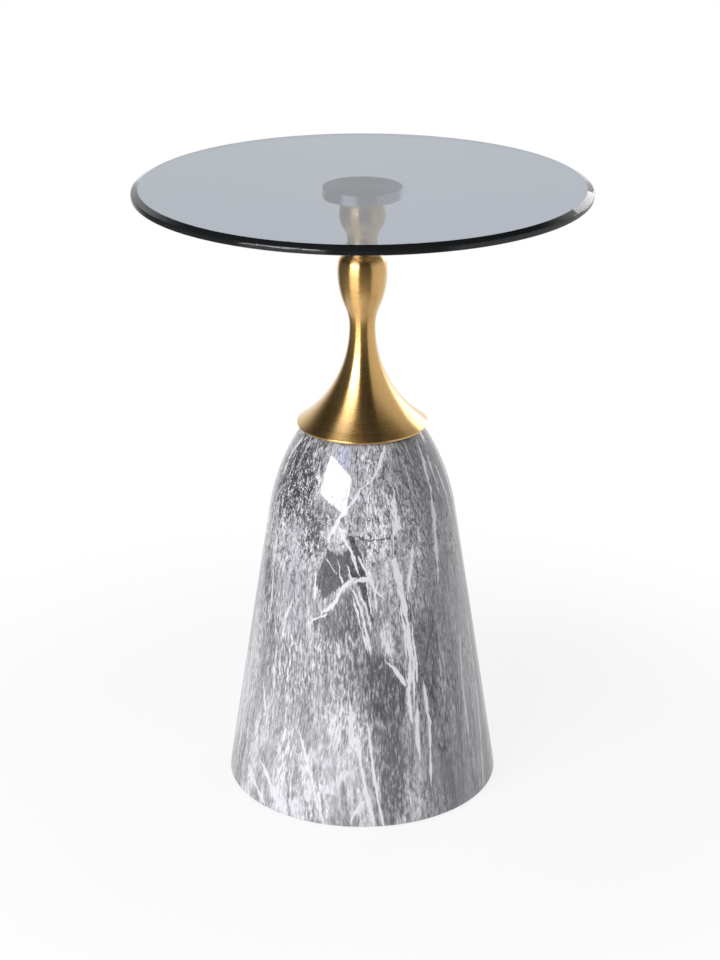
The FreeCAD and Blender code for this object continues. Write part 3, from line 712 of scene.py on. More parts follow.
def make_upper_bulb():
    """The short pear between the neck and the disc."""
    low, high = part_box("upper_bulb")
    neck = (NECK_RADIUS, low.z)
    widest = (high.x, low.z + BULB_RISE)
    neck_centre, meeting, belly_centre = s_curve(neck, widest, BULB_NECK_CURVE)
    top_centre = (widest[0] - BULB_TOP_CURVE, widest[1])
    top = rise_on(widest, top_centre, high.z - widest[1])
    outer, inner = spun_wall([
        (neck, meeting, neck_centre, -1),
        (meeting, widest, belly_centre, 1),
        (widest, top, top_centre, 1),
    ])
    inner_top = (top[0] - 1.5 * SHEET, high.z)
    outline = outer + [inner_top] + inner[::-1]
    return turned_piece("brass_bulb", outline, BULB_SEGMENTS, brushed_brass, "brushed_brass", "upper_bulb",
                        closed=True)


brass_bulb = make_upper_bulb()

# %% Flared stem
LIP_HEIGHT = 2.0 * MM
LIP_ROUNDING = 0.8 * MM
FLARE_HEIGHT = 95.5 * MM
WAIST_RADIUS = 12.5 * MM
WAIST_CURVE = 48.0 * MM
PEAR_LENGTH = 53.5 * MM
PEAR_RADIUS = 23.8 * MM
PEAR_CROWN_CURVE = 48.0 * MM
PEAR_CROWN_RISE = 10.5 * MM
SHOULDER_CURVE = 10.0 * MM


def make_flared_stem():
    """The skirt's flare, the waist, the lower pear and the neck, one spun wall with a lip at its foot."""
    low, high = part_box("flared_stem")
    rim = high.x
    lip_top = (rim, low.z + LIP_HEIGHT)
    waist = (WAIST_RADIUS, lip_top[1] + FLARE_HEIGHT)
    widest = (PEAR_RADIUS, waist[1] + PEAR_LENGTH)
    neck = (NECK_RADIUS, high.z)
    spread = rim - WAIST_RADIUS
    flare_centre = (WAIST_RADIUS + (spread**2 + FLARE_HEIGHT**2) / (2 * spread), waist[1])
    waist_centre, meeting, pear_centre = s_curve(waist, widest, WAIST_CURVE)
    crown_centre = (widest[0] - PEAR_CROWN_CURVE, widest[1])
    crown_end = rise_on(widest, crown_centre, PEAR_CROWN_RISE)
    shoulder_centre = along(crown_end, crown_centre, SHOULDER_CURVE)
    step, fall = neck[0] - shoulder_centre[0], neck[1] - shoulder_centre[1]
    neck_curve = (step**2 + fall**2 - SHOULDER_CURVE**2) / (2 * (SHOULDER_CURVE - step))
    neck_centre = (neck[0] + neck_curve, neck[1])
    shoulder_end = along(shoulder_centre, neck_centre, SHOULDER_CURVE)
    outer, inner = spun_wall([
        (lip_top, waist, flare_centre, -1),
        (waist, meeting, waist_centre, -1),
        (meeting, widest, pear_centre, 1),
        (widest, crown_end, crown_centre, 1),
        (crown_end, shoulder_end, shoulder_centre, 1),
        (shoulder_end, neck, neck_centre, -1),
    ])
    inner_neck = (neck[0] - SHEET, high.z)
    inner_lip = (rim - SHEET, inner[0][1])
    lip = soften([(*outer[1], 0.0), (*inner_lip, 0.0), (rim - SHEET, low.z, LIP_ROUNDING),
                  (rim, low.z, LIP_ROUNDING), (*lip_top, LIP_ROUNDING / 2)])
    outline = outer[1:] + [inner_neck] + inner[:0:-1] + lip[1:]
    return turned_piece("brass_stem", outline, STEM_SEGMENTS, brushed_brass, "brushed_brass", "flared_stem",
                        closed=True)


brass_stem = make_flared_stem()

# %% [markdown]
# ## The bell
#
# The base is a hollow moulding: a leaning wall, a long rounded shoulder and a flat crown under the
# skirt. Its outline is one line and two arcs, and the inside follows it one wall further in.

# %% Bell mesh
BELL_WALL = 6.0 * MM
FOOT_EDGE = 1.5 * MM
SHOULDER_DROP = 87.0 * MM
SHOULDER_START_RADIUS = 91.1 * MM
BELL_SHOULDER_CURVE = 210.0 * MM
CROWN_EDGE_CURVE = 6.0 * MM
CROWN_HOLE = 5.25 * MM
BELL_STEPS = 48
CROWN_STEPS = 8
BELL_SEGMENTS = 256


def bell_outline():
    """The bell's section, from the foot up the outside, over the crown and down the inside."""
    low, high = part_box("base_shell")
    foot = (high.x, low.z + FOOT_EDGE)
    cone_top = (SHOULDER_START_RADIUS, high.z - SHOULDER_DROP)
    lean = (foot[0] - cone_top[0]) / (cone_top[1] - foot[1])
    slant = math.sqrt(1 + lean**2)
    centre = (cone_top[0] - BELL_SHOULDER_CURVE / slant, cone_top[1] - BELL_SHOULDER_CURVE * lean / slant)
    edge_height = high.z - CROWN_EDGE_CURVE
    edge_reach = math.sqrt((BELL_SHOULDER_CURVE - CROWN_EDGE_CURVE)**2 - (edge_height - centre[1])**2)
    edge_centre = (centre[0] + edge_reach, edge_height)
    edge_start = along(centre, edge_centre, BELL_SHOULDER_CURVE)
    under = high.z - BELL_WALL
    inner_curve = BELL_SHOULDER_CURVE - BELL_WALL
    inner_top = (centre[0] + math.sqrt(inner_curve**2 - (under - centre[1])**2), under)
    inner_start = along(centre, cone_top, inner_curve)
    inner_foot = (inner_start[0] + lean * (inner_start[1] - low.z), low.z)
    outline = soften([(*inner_foot, 0.0), (high.x, low.z, FOOT_EDGE), (*cone_top, 0.0)])[1:-1]
    for i in range(1, BELL_STEPS):
        outline.append(tuple(f + (c - f) * i / BELL_STEPS for f, c in zip(foot, cone_top)))
    outline += arc_points(cone_top, edge_start, centre, BELL_STEPS)
    outline += arc_points(edge_start, (edge_centre[0], high.z), edge_centre, CROWN_STEPS)[1:]
    outline += [(CROWN_HOLE, high.z), (CROWN_HOLE, under)]
    outline += arc_points(inner_top, inner_start, centre, BELL_STEPS)
    return outline + [inner_foot]


bell_mesh = turned_mesh("marble_bell", bell_outline(), BELL_SEGMENTS, closed=True)
print("bell outline turned,", len(bell_mesh.vertices), "points")

# %% [markdown]
# ## The marble finish
#
# The bell carries a grey marble film under thick lacquer. A picture could be wrapped round it, but a
# finish built from noise and a few placed patches and veins stays sharp at any distance and is our own.
# It is laid in coats, as a decorative painter would: paler and darker washes with fine flecks first,
# then the crumbled corner and the web of cracks, the dark flat-sided patches, the white veins and last
# the dark cracks. Everything is placed by angle round the axis (0 faces the camera, plus is to the
# right, in degrees) and by height above the floor in millimetres. Such a film goes round in two equal
# lengths, so the back has the front's patches and veins again, over other flecks.

# %% Marble: where we are on the bell
WRAP_RADIUS = 0.105
HALF_REPEAT = 90.0
SIDE_PER_DEGREE = 1.8


class Marble(Board):
    """The board of the marble finish, with the place on the bell and the noises that every coat shares."""

    def __init__(self, tree):
        super().__init__(tree)
        radius, angle, up = round_place(self)
        turned = self.times(angle, 180 / math.pi)
        self.angle = self.math("WRAP", turned, HALF_REPEAT, -HALF_REPEAT)
        self.side = self.times(self.angle, SIDE_PER_DEGREE)
        self.height = self.times(up, 1000.0)
        self.degree = self.times(radius, 1000.0 * math.pi / 180)
        east = self.times(self.math("SINE", angle), WRAP_RADIUS)
        south = self.times(self.math("COSINE", angle), WRAP_RADIUS)
        wrap = self.add("ShaderNodeCombineXYZ", None, X=east, Y=south, Z=up).outputs[0]
        self.flow = self.shake(wrap, 9.0, 0.012, 0.0)
        self.shaken = self.shake(wrap, 130.0, 0.009, 3.0)
        self.wobble = self.drawn(1.0, 40.0, 4.0, 0.55)
        self.ragged = self.drawn(0.5, 190.0, 3.0, 0.6)
        self.fray = self.drawn(0.16, 230.0, 3.0, 0.6)
        self.jitter = self.times(self.plus(self.wobble, self.ragged, 1.0),
                                 self.remap(self.height, 110, 230, 1.5, 5.0))
        self.swell = self.remap(self.drawn(0.6, 80.0, 2.0, 0.5), -0.16, 0.16, 0.4, 1.6, soft=False)

    def drawn(self, stretch, scale, detail, roughness, distortion=0.0):
        """Noise from -0.5 to 0.5 on the bell, drawn out along its height where stretch is under 1."""
        place = self.stretch(self.flow, (1.0, 1.0, stretch))
        return self.math("SUBTRACT", self.noise(place, scale, detail, roughness, distortion), 0.5)

    def shake(self, vector, scale, amount, detail):
        """A place pushed about by noise."""
        noise = self.add("ShaderNodeTexNoise", None, Vector=vector, Scale=scale, Detail=detail,
                         Roughness=0.6)
        push = self.add("ShaderNodeVectorMath", {"operation": "MULTIPLY_ADD"})
        for socket, value in zip(push.inputs, (noise.outputs["Color"], (amount,) * 3, vector)):
            self.fill(socket, value)
        return push.outputs[0]

    def crossings(self, noise, width):
        """1 along the thin wandering lines where a noise crosses zero."""
        return self.remap(self.math("ABSOLUTE", noise), 0.0, width, 1.0, 0.0)

    def joints(self, scale, stretch, width):
        """1 on the joints between broken cells and 0 inside them."""
        cells = self.add("ShaderNodeTexVoronoi", {"feature": "DISTANCE_TO_EDGE"},
                         Vector=self.stretch(self.shaken, (1.0, 1.0, stretch)), Scale=scale)
        return self.remap(cells.outputs["Distance"], 0.0, width, 1.0, 0.0)

    def plus(self, value, mask, strength):
        """A value with a mask added to it at a strength."""
        return self.math("MULTIPLY_ADD", mask, strength, value)

    def torn(self, reach, frayed):
        """A distance from an edge, pushed about so that the edge looks torn."""
        return self.plus(self.plus(reach, self.fray, frayed), self.ragged, 0.5 * frayed)

    def patch(self, height, angle, half_height, half_angle, tilt=0.0, edge=0.4, frayed=1.6):
        """1 inside an oval on the bell and 0 outside, with a torn edge; tilt in degrees per millimetre."""
        up = self.math("SUBTRACT", self.height, height)
        middle = self.math("MULTIPLY_ADD", up, tilt, angle)
        side = self.math("DIVIDE", self.math("SUBTRACT", self.angle, middle), half_angle)
        rise = self.math("DIVIDE", up, half_height)
        reach = self.math("SQRT", self.math("MULTIPLY_ADD", side, side, self.times(rise, rise)))
        return self.remap(self.torn(reach, frayed), 1.0 - edge, 1.0 + edge, 1.0, 0.0)

    def facet(self, edge, frayed, *corners):
        """1 inside a flat-sided patch of (height, angle) corners, 0 outside; edge and fraying in mm."""
        spots = [Vector((angle * SIDE_PER_DEGREE, height)) for height, angle in corners]
        middle = sum(spots, Vector((0.0, 0.0))) / len(spots)
        offs = []
        for first, last in zip(spots, spots[1:] + spots[:1]):
            away = (last - first).orthogonal().normalized()
            if away.dot(first - middle) < 0:
                away.negate()
            off = self.math("MULTIPLY_ADD", self.side, away.x, -away.dot(first))
            offs.append(self.plus(off, self.height, away.y))
        return self.remap(self.torn(self.all_of(offs), frayed), -edge, edge, 1.0, 0.0)

    def line(self, points, width, level=False):
        """How far off a line of (height, angle) points we are, in shares of its width; its ends taper."""
        if level:
            points = [(angle, height) for height, angle in points]
        here, there = (self.angle, self.height) if level else (self.height, self.angle)
        points = sorted(points)
        first, last = points[0][0], points[-1][0]
        lowest, highest = min(p[1] for p in points), max(p[1] for p in points)
        span = max(highest - lowest, 1.0)
        run = self.remap(here, first, last, soft=False)
        shape = [((p[0] - first) / (last - first), (p[1] - lowest) / span) for p in points]
        gap = self.math("SUBTRACT", there, self.plus(lowest, self.curve(run, shape), span))
        if not level:
            gap = self.times(gap, self.degree)
        gap = self.math("ABSOLUTE", self.plus(gap, self.jitter, 1.0))
        taper = self.remap(self.math("PINGPONG", run, 0.5), 0.0, 0.2, 0.0, width)
        return self.math("DIVIDE", gap, self.math("MAXIMUM", taper, 0.001))

    def all_of(self, values, operation="MAXIMUM"):
        """Several values made into one, the largest at each place if no other operation is named."""
        result = values[0]
        for value in values[1:]:
            result = self.math(operation, result, value)
        return result


marble_material, _ = new_finish("grey_marble")
marble = Marble(marble_material.node_tree)
print("marble board ready")

# %% [markdown]
# ## Marble: the ground
#
# Marble is limestone that was squeezed until it flowed, so its grey is full of short streaks that run
# one way. One noise would look like a cloud, so several are laid over each other: fine flecks, longer
# strokes, tongues like flames and broad clouds. A few oval washes then make the paler and darker areas;
# two of them are painted light: a pale patch under the softbox's reflection and a pale band at the
# right edge that stands for the right wall's reflection in the lacquer.

# %% Marble: washes, strokes and flecks
WASHES_AND_PAINTED_LIGHT = [
    # How much paler (plus) or darker, then height, angle, half height, half angle and any tilt
    (0.12, 94, -11, 34, 8), (0.09, 60, -42, 62, 16), (0.15, 110, -68, 60, 12),
    (0.12, 205, -44, 46, 12), (0.10, 40, -12, 30, 12), (0.12, 330, 4, 40, 14),
    (0.14, 272, -56, 26, 18), (0.14, 270, 11, 34, 10), (0.10, 285, -16, 13, 5),
    (-0.24, 150, -55, 44, 6, 0.02), (-0.07, 152, -17, 42, 13), (-0.12, 205, -66, 40, 8),
    (-0.07, 345, 36, 30, 22), (-0.12, 40, 36, 44, 10), (-0.22, 160, 34, 70, 6),
    # Painted highlight: (0.14, 337, -25, 17, 8) is a pale patch under the softbox's reflection
    # Painted reflection: (0.18, 170, 65, 130, 13) is a pale band at the right edge for the right wall
    (0.18, 170, 65, 130, 13), (0.14, 337, -25, 17, 8), (-0.22, 262, 80, 66, 5),
    (0.14, 100, -80, 70, 5),
]
FLECK_STRENGTHS = (0.40, 0.62)
STROKE_STRENGTH = 0.75
FLAME_STRENGTH = 0.20
GROUND_TONE = 0.62
CLOUD_STRENGTH = 0.25
RIGHT_CALM = 0.72
RIGHT_SHADE = -0.09

dashes = marble.drawn(0.20, 620.0, 4.0, 0.68)
grit = marble.drawn(0.5, 480.0, 4.0, 0.68)
blots = marble.drawn(0.4, 90.0, 6.0, 0.70)
strokes = marble.drawn(0.10, 75.0, 6.0, 0.74)
flames = marble.drawn(0.09, 105.0, 3.0, 0.6, 0.3)
clouds = marble.drawn(0.5, 28.0, 4.0, 0.6)
upper = marble.remap(marble.height, 200, 290)
off_seam = marble.remap(marble.math("ABSOLUTE", marble.angle), 76, 89, 1.0, 0.0)
right = marble.times(marble.remap(marble.angle, 22, 42), off_seam)

grain = marble.mix(upper, dashes, grit)
flecks = marble.remap(grain, -0.17, 0.17, -0.5, 0.5)
crowding = marble.remap(clouds, -0.12, 0.12, 0.6, 1.2)
texture = marble.times(marble.mix(upper, strokes, blots), STROKE_STRENGTH)
fleck_strength = marble.remap(marble.height, 50, 160, *FLECK_STRENGTHS)
texture = marble.plus(texture, marble.times(flecks, crowding), fleck_strength)
tongues = marble.remap(flames, -0.01, 0.06, -0.3, 0.6)
tongues = marble.times(tongues, marble.remap(marble.height, 20, 200, 0.9, 0.5))
texture = marble.plus(texture, tongues, FLAME_STRENGTH)
tone = marble.plus(GROUND_TONE, clouds, CLOUD_STRENGTH)
tone = marble.plus(tone, texture, marble.mix(right, 1.0, RIGHT_CALM))
tone = marble.plus(tone, right, RIGHT_SHADE)
for strength, *oval in WASHES_AND_PAINTED_LIGHT:
    tone = marble.plus(tone, marble.patch(*oval, edge=0.7, frayed=2.2), strength)
print("ground laid with", len(marble.tree.nodes), "nodes")

# %% [markdown]
# ## Marble: broken stone
#
# At the top left the stone was crushed and healed again. That leaves dark joints between small crumbs,
# and round them a web of finer cracks. The cells of a Voronoi texture give such joints, because the
# distance to the edge of a cell is small just along them. Torn ovals keep each kind of crack to its own
# area.

# %% Marble: the crumbled corner, the web and the splits
CRUMBLED = [
    # Height, angle, half height and half angle
    (338, -54, 43, 24), (302, -29, 9, 13), (284, -32, 17, 8),
]
CRUMBLED_LIFT = 0.12
CRUSHED_DEPTH = -0.88

crumbled = marble.all_of([marble.patch(*oval, edge=0.45, frayed=1.8) for oval in CRUMBLED])
crumbled = marble.times(crumbled, off_seam)
gravel = marble.times(marble.joints(380.0, 0.75, 0.28), marble.remap(marble.ragged, -0.14, 0.06))
clots = marble.remap(marble.drawn(0.7, 170.0, 4.0, 0.70), 0.03, 0.08)
crushed = marble.times(marble.math("MAXIMUM", gravel, clots), marble.remap(clouds, -0.10, 0.10, 0.6, 1.3),
                       crumbled)
tone = marble.plus(tone, crumbled, CRUMBLED_LIFT)
tone = marble.plus(tone, crushed, CRUSHED_DEPTH)

web = marble.times(marble.joints(85.0, 0.8, 0.09), upper, marble.remap(marble.ragged, -0.06, 0.10))
splits = marble.times(marble.joints(110.0, 0.16, 0.09), marble.patch(155, 34, 140, 10, edge=0.5),
                      marble.remap(blots, -0.02, 0.08))
hairs = marble.times(marble.crossings(marble.drawn(0.7, 34.0, 5.0, 0.65), 0.010),
                     marble.remap(marble.ragged, -0.08, 0.08),
                     marble.patch(270, -35, 110, 60, edge=0.4), off_seam)
slanted = marble.add("ShaderNodeCombineXYZ", None, X=marble.plus(marble.side, marble.height, 0.5),
                     Z=marble.times(marble.height, 0.12))
hatching = marble.remap(marble.noise(slanted.outputs[0], 0.34, 3.0, 0.6), 0.52, 0.66)
hatching = marble.times(hatching, marble.patch(325, 38, 48, 20, edge=0.6))
print("crumbled corner, web, splits, hairs and hatching laid")

# %% [markdown]
# ## Marble: dark patches
#
# Some fragments of the stone stayed whole and show as dark, flat-sided patches between the veins. Round
# blots would look like spilled paint, so each patch is a polygon: it is where we are inside all its
# sides at once. Fine noise tears the sides a little, and the flecks go on inside.

# %% Marble: dark patches
DARK_FACETS = [
    # Darkness, edge and fraying in millimetres, then (height, angle) corners
    (0.95, 0.7, 13.0, (240, -27), (274, -21), (268, -10), (246, -8.5), (226, -22)),
    (0.92, 0.7, 6.0, (274, -11), (277, -7.5), (250, -1), (249, -5.5), (263, -12)),
    (0.97, 0.7, 5.0, (289, -8.5), (288, -5), (267, 0), (249, 2.5), (250, -1), (274, -6)),
    (0.92, 0.7, 6.0, (245, -2.5), (246, 3.5), (219, 5), (207, 6), (214, 3.5)),
]
FLECKED_FACETS = [
    # The same, with flecks showing through
    (0.80, 6.0, 40.0, (226, -15), (238, -7.5), (215, 0), (190, 4), (187, -20), (204, -25)),
    (0.88, 8.0, 45.0, (176, -1), (178, 8.5), (161, 17), (141, 21.5), (114, 20.5), (104, 15.5), (108, 4),
     (136, -1)),
    (0.94, 7.0, 40.0, (106, 6), (107, 20), (68, 19), (21, 18), (3, 12.5), (24, 7.5), (62, 5.5)),
    (0.60, 1.5, 12.0, (214, 37.5), (212, 40.5), (176, 43), (150, 42), (128, 37), (152, 36.5)),
]

dark_tone = marble.plus(marble.plus(0.13, flecks, 0.22), marble.remap(flecks, 0.26, 0.46), 0.28)
flecked_tone = marble.plus(marble.plus(0.24, flecks, 0.30), marble.remap(flecks, 0.20, 0.46), 0.24)
for facets, filling in ((FLECKED_FACETS, flecked_tone), (DARK_FACETS, dark_tone)):
    for darkness, edge, frayed, *corners in facets:
        patch = marble.facet(edge, frayed, *corners)
        tone = marble.mix(marble.times(patch, darkness), tone, filling)
print(len(DARK_FACETS) + len(FLECKED_FACETS), "dark patches")

# %% [markdown]
# ## Marble: veins and cracks
#
# White calcite filled the old cracks, so a vein is thin and bent, swells here and there and ends in a
# point. A curve node holds the course of each vein. How far off it we are, divided by a width that
# tapers at both ends, says where the vein is. Veins that run more level than upright are drawn along
# the angle. Torn white patches widen some of them, and the thin dark cracks are made in the same way.

# %% Marble: white veins
WHITE_VEINS = [
    # Width in millimetres, then (height, angle) points from the top down
    (1.6, (369, 21), (345, 11), (332, -1)),
    (2.6, (336, 1), (316, -9), (304, -15), (278, -22)),
    (2.2, (303, -16), (287, -11), (272, -6), (248, -1)),
    (2.2, (272, -3), (252, 3), (236, 7), (226, 13)),
    (0.9, (267, -22), (250, -14)),
    (1.2, (268, -15), (241, -11)),
    (1.0, (262, -9), (246, -6)),
    (2.0, (244, -8), (231, -4), (219, -1), (190, 2.5), (166, 5)),
    (1.2, (236, -7), (214, -2.5), (192, 0.5), (172, 3)),
    (1.4, (241, -4), (222, 1.5), (198, 4.5)),
    (1.1, (249, 2), (229, 3), (208, 6)),
    (1.5, (252, 5), (229, 7), (212, 8)),
    (1.8, (335, 23), (316, 21), (302, 22), (286, 19), (268, 19)),
    (1.5, (327, 16), (313, 18), (300, 22)),
    (1.5, (305, 21), (290, 26)),
    (2.6, (240, 19), (226, 22.5), (208, 24), (180, 26)),
    (1.2, (222, 21), (196, 22.5), (160, 23)),
    (1.8, (277, 31), (251, 28), (222, 25)),
    (2.6, (372, 60), (339, 54), (306, 51), (268, 49), (228, 47)),
    (1.4, (354, 62), (329, 61), (310, 62)),
    (1.4, (345, 67), (311, 70), (280, 70)),
    (1.4, (278, -64), (235, -61), (206, -59), (180, -59)),
    (2.2, (369, -67), (346, -74), (324, -71)),
    (1.4, (219, -41), (197, -45), (174, -46)),
    (1.1, (254, -28), (220, -27)),
    (2.8, (168, 11), (160, 16), (138, 22)),
    (2.4, (215, 23.5), (168, 25), (132, 23), (96, 24)),
    (1.2, (200, 25.5), (160, 26.3), (118, 25.5)),
    (1.6, (205, 27), (170, 27.5), (140, 25)),
    (1.6, (173, 28), (140, 28)),
    (1.8, (147, 31), (97, 33), (68, 32), (30, 31)),
    (2.6, (120, 27), (86, 26), (60, 27)),
    (2.0, (130, -6), (106, -5), (80, -4)),
    (1.9, (98, -2.6), (70, -1), (45, 1.2), (30, 2.6), (-14, 6.2)),
    (1.5, (114, 2), (88, 3.5), (60, 4.7), (29, 6.7), (-14, 10.2)),
    (2.4, (30, 1), (17, -3), (6, -5)),
    (6.2, (48, -54), (40, -48), (22, -42), (-14, -27)),
    (4.4, (34, -61), (2, -45)),
    (1.9, (95, -31), (60, -25), (20, -19), (-14, -14)),
    (1.0, (170, -50), (116, -48)),
    (1.6, (128, -57), (94, -52)),
    (1.5, (190, 62), (129, 58), (40, 57)),
    (1.5, (200, 75), (93, 72), (-14, 63)),
    (1.8, (350, 83), (300, 79), (250, 84), (205, 81)),
    (1.3, (180, 85), (110, 81), (30, 84)),
    (1.6, (318, -79), (262, -84), (214, -81)),
    (2.2, (150, -85), (88, -80), (20, -83)),
]
LEVEL_VEINS = [
    (2.8, (212, -23), (224, -15), (239, -11), (250, -3)),
    (2.4, (243, -6), (248, -1), (249, 6)),
    (1.4, (188, -31), (205, -27), (213, -18)),
]


def nearest(upright, level):
    """How far off the nearest of two sets of lines we are."""
    offs = [marble.line(points, width) for width, *points in upright]
    offs += [marble.line(points, width, level=True) for width, *points in level]
    return marble.all_of(offs, "MINIMUM")


nearest_vein = marble.math("DIVIDE", nearest(WHITE_VEINS, LEVEL_VEINS), marble.swell)
nearest_vein = marble.torn(nearest_vein, 0.4)
veins = marble.remap(nearest_vein, 0.58, 0.82, 1.0, 0.0)
vein_haze = marble.remap(nearest_vein, 0.6, 2.4, 0.09, 0.0)
print(len(WHITE_VEINS) + len(LEVEL_VEINS), "veins")

# %% Marble: torn white patches
WHITE_FACETS = [
    # Least white between the flecks, edge and fraying in millimetres, then (height, angle) corners
    (0.90, 0.5, 4.0, (239, -11), (244, -7), (249, -3.5), (250, -5), (245, -9)),
    (0.90, 0.5, 4.0, (246, -3), (249, -0.5), (251, 4), (247, 5), (245, 0.5)),
    (0.70, 0.6, 6.0, (212, -23), (222, -17.5), (219, -15.5), (213, -20)),
    (0.80, 0.8, 6.0, (265, 16.8), (268, 20), (249, 22.4), (224, 24), (226, 21), (245, 18.2)),
    (0.15, 1.5, 9.0, (322, 17), (325, 20), (300, 24), (284, 22), (296, 19)),
    (0.35, 2.5, 16.0, (203, 9), (204, 13), (185, 17), (171, 15), (173, 11), (186, 9)),
    (0.70, 1.4, 8.0, (14, -33), (25, -29.5), (13, -25), (-6, -24), (-6, -27.5)),
    (0.35, 3.0, 14.0, (288, 35), (284, 37), (262, 37), (266, 34)),
    (0.60, 1.2, 7.0, (41, -18.5), (34, -17.5), (33, -12), (43, -11.5)),
    (0.60, 1.2, 7.0, (35, -13.5), (40, -15), (61, -7.5), (56, -5.5)),
    (0.55, 0.8, 6.0, (126, -6), (104, -4), (80, -3.4), (82, -5), (102, -6)),
    (0.35, 1.5, 9.0, (68, -31), (71, -27.8), (26, -19.8), (20, -24.5)),
    (0.25, 1.5, 9.0, (112, -16), (113, -12.5), (86, -9), (84, -12.5)),
    (0.25, 1.5, 9.0, (122, -19), (123, -16.5), (94, -12.8), (90, -16.5)),
]

for least, *facet in WHITE_FACETS:
    speckled = marble.remap(flecks, -0.5, 0.3, least, 0.96)
    veins = marble.math("MAXIMUM", veins, marble.times(marble.facet(*facet), speckled))
print(len(WHITE_FACETS), "white patches")

# %% Marble: dark cracks and fine threads
DARK_CRACKS = [
    # As the veins
    (0.6, (369, -5), (330, -3)),
    (1.3, (205, 41), (196, 41), (190, 39.5), (179, 37), (169, 35), (158, 33.5)),
    (1.0, (196, 28.4), (183, 29.5), (176, 31.8)),
    (0.8, (188, 42.4), (177, 41.8), (165, 42)),
    (0.9, (167, 38), (156, 38.3), (145, 36.8), (130, 37)),
    (0.8, (133, 38), (129, 41), (119, 41.2)),
    (1.0, (111, 32.6), (97, 34.8)),
    (0.9, (237, 44.6), (224, 43), (216, 40.3)),
    (0.8, (223, 26.7), (201, 26.9), (190, 26.8)),
]
LEVEL_CRACKS = [
    (0.9, (290, -7), (285, 4), (286, 11), (289, 19)),
]

cracks = marble.remap(nearest(DARK_CRACKS, LEVEL_CRACKS), 0.4, 0.9, 1.0, 0.0)
thread = marble.times(marble.crossings(marble.drawn(0.11, 75.0, 3.0, 0.5, 0.3), 0.014),
                      marble.remap(marble.fray, -0.02, 0.12))
print(len(DARK_CRACKS) + len(LEVEL_CRACKS), "cracks, and threads all round")

# %% [markdown]
# ## Marble: under lacquer
#
# All the coats are now one number from dark to white, and a ramp turns it into the stone's slightly
# blue greys. The film by itself is nearly matt. The clear coat over it is smooth and bends light
# strongly, which gives the sharp reflection of the softbox.

# %% Marble: all coats under lacquer
MARBLE_TONES = [
    # Tone, and the colour that it stands for
    (0.0, (0.050, 0.050, 0.057)), (0.2, (0.100, 0.100, 0.110)), (0.5, (0.235, 0.235, 0.256)),
    (0.75, (0.480, 0.480, 0.516)), (1.0, (0.790, 0.790, 0.833)), (1.15, (0.930, 0.930, 0.960)),
]
WHITEST = MARBLE_TONES[-1][0]
COATS = [
    # A coat, and how much paler (plus) or darker it makes the stone
    (thread, 0.18), (web, -0.44), (splits, -0.55), (hatching, -0.32), (hairs, -0.30), (vein_haze, 1.0),
]
VEIN_WHITE_AND_PAINTED_LIGHT = (0.95, 1.04)
CRACK_DEPTH = -0.50

for coat, strength in COATS:
    tone = marble.plus(tone, coat, strength)
# Painted light: the veins are painted whiter from 0 to 25 degrees to the right, in place of more light on
# that side
white = marble.plus(marble.remap(marble.angle, 0, 25, *VEIN_WHITE_AND_PAINTED_LIGHT), grain, 0.3)
tone = marble.mix(veins, tone, white)
tone = marble.plus(tone, cracks, CRACK_DEPTH)
stops = [(place / WHITEST, rgb) for place, rgb in MARBLE_TONES]
colour = marble.ramp(marble.math("DIVIDE", tone, WHITEST), stops)
lacquered = marble.add("ShaderNodeBsdfPrincipled", None, Base_Color=colour,
                       Roughness=marble.remap(grain, -0.2, 0.2, 0.42, 0.52), Specular_IOR_Level=0.25,
                       Coat_Weight=1.0, Coat_Roughness=0.06, Coat_IOR=1.65)
marble.show(lacquered)
marble_bell = new_piece("marble_bell", bell_mesh, marble_material, "marble_gloss", "base_shell")
print("marble finish has", len(marble.tree.nodes), "nodes")

# %% [markdown]
# ## What holds it together
#
# Inside the stem and under the bell sit the fittings that a buyer never sees: a zinc-plated rod with
# its nut, washer and plates, a rubber gasket, a plywood ring, an iron weight and a black steel bottom
# plate. Their shapes are right as they are, so they keep the frame's own meshes and only get finishes,
# each with the mottling of its kind.

# %% Finishes of the hidden fittings
def mottled_finish(name, dark, light, scale, roughness, metallic=0.0, bump=0.1, distance=0.2 * MM):
    """A finish that wanders between two colours, with a fine bump."""
    material, board = new_finish(name)
    place = board.place()
    cloud = board.noise(place, scale, 5.0, 0.6)
    speck = board.noise(place, scale * 9.0, 3.0, 0.6)
    colour = board.blend(board.remap(cloud, 0.30, 0.70), (*dark, 1.0), (*light, 1.0))
    rough = board.remap(speck, 0.3, 0.7, roughness * 0.85, min(roughness * 1.15, 1.0))
    board.show(board.add("ShaderNodeBsdfPrincipled", None, Base_Color=colour, Metallic=metallic,
                         Roughness=rough, Normal=board.bump(speck, bump, distance)))
    return material


zinc = mottled_finish("zinc_plate", (0.48, 0.49, 0.50), (0.66, 0.66, 0.66), 120.0, 0.34, metallic=1.0)
rubber = mottled_finish("gasket_rubber", (0.030, 0.030, 0.031), (0.055, 0.054, 0.053), 200.0, 0.72)
iron = mottled_finish("raw_iron", (0.10, 0.10, 0.10), (0.22, 0.20, 0.19), 70.0, 0.62, metallic=0.6,
                      bump=0.4)
powder_coat = mottled_finish("black_powder_coat", (0.028, 0.028, 0.030), (0.048, 0.048, 0.051), 900.0, 0.46,
                             bump=0.3)
felt = mottled_finish("pad_felt", (0.045, 0.045, 0.047), (0.105, 0.103, 0.100), 900.0, 0.95, bump=0.7,
                      distance=0.6 * MM)


def dress(node, material):
    """Gives a piece of the frame its finish."""
    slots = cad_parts[node].data.materials
    slots.clear()
    slots.append(material)


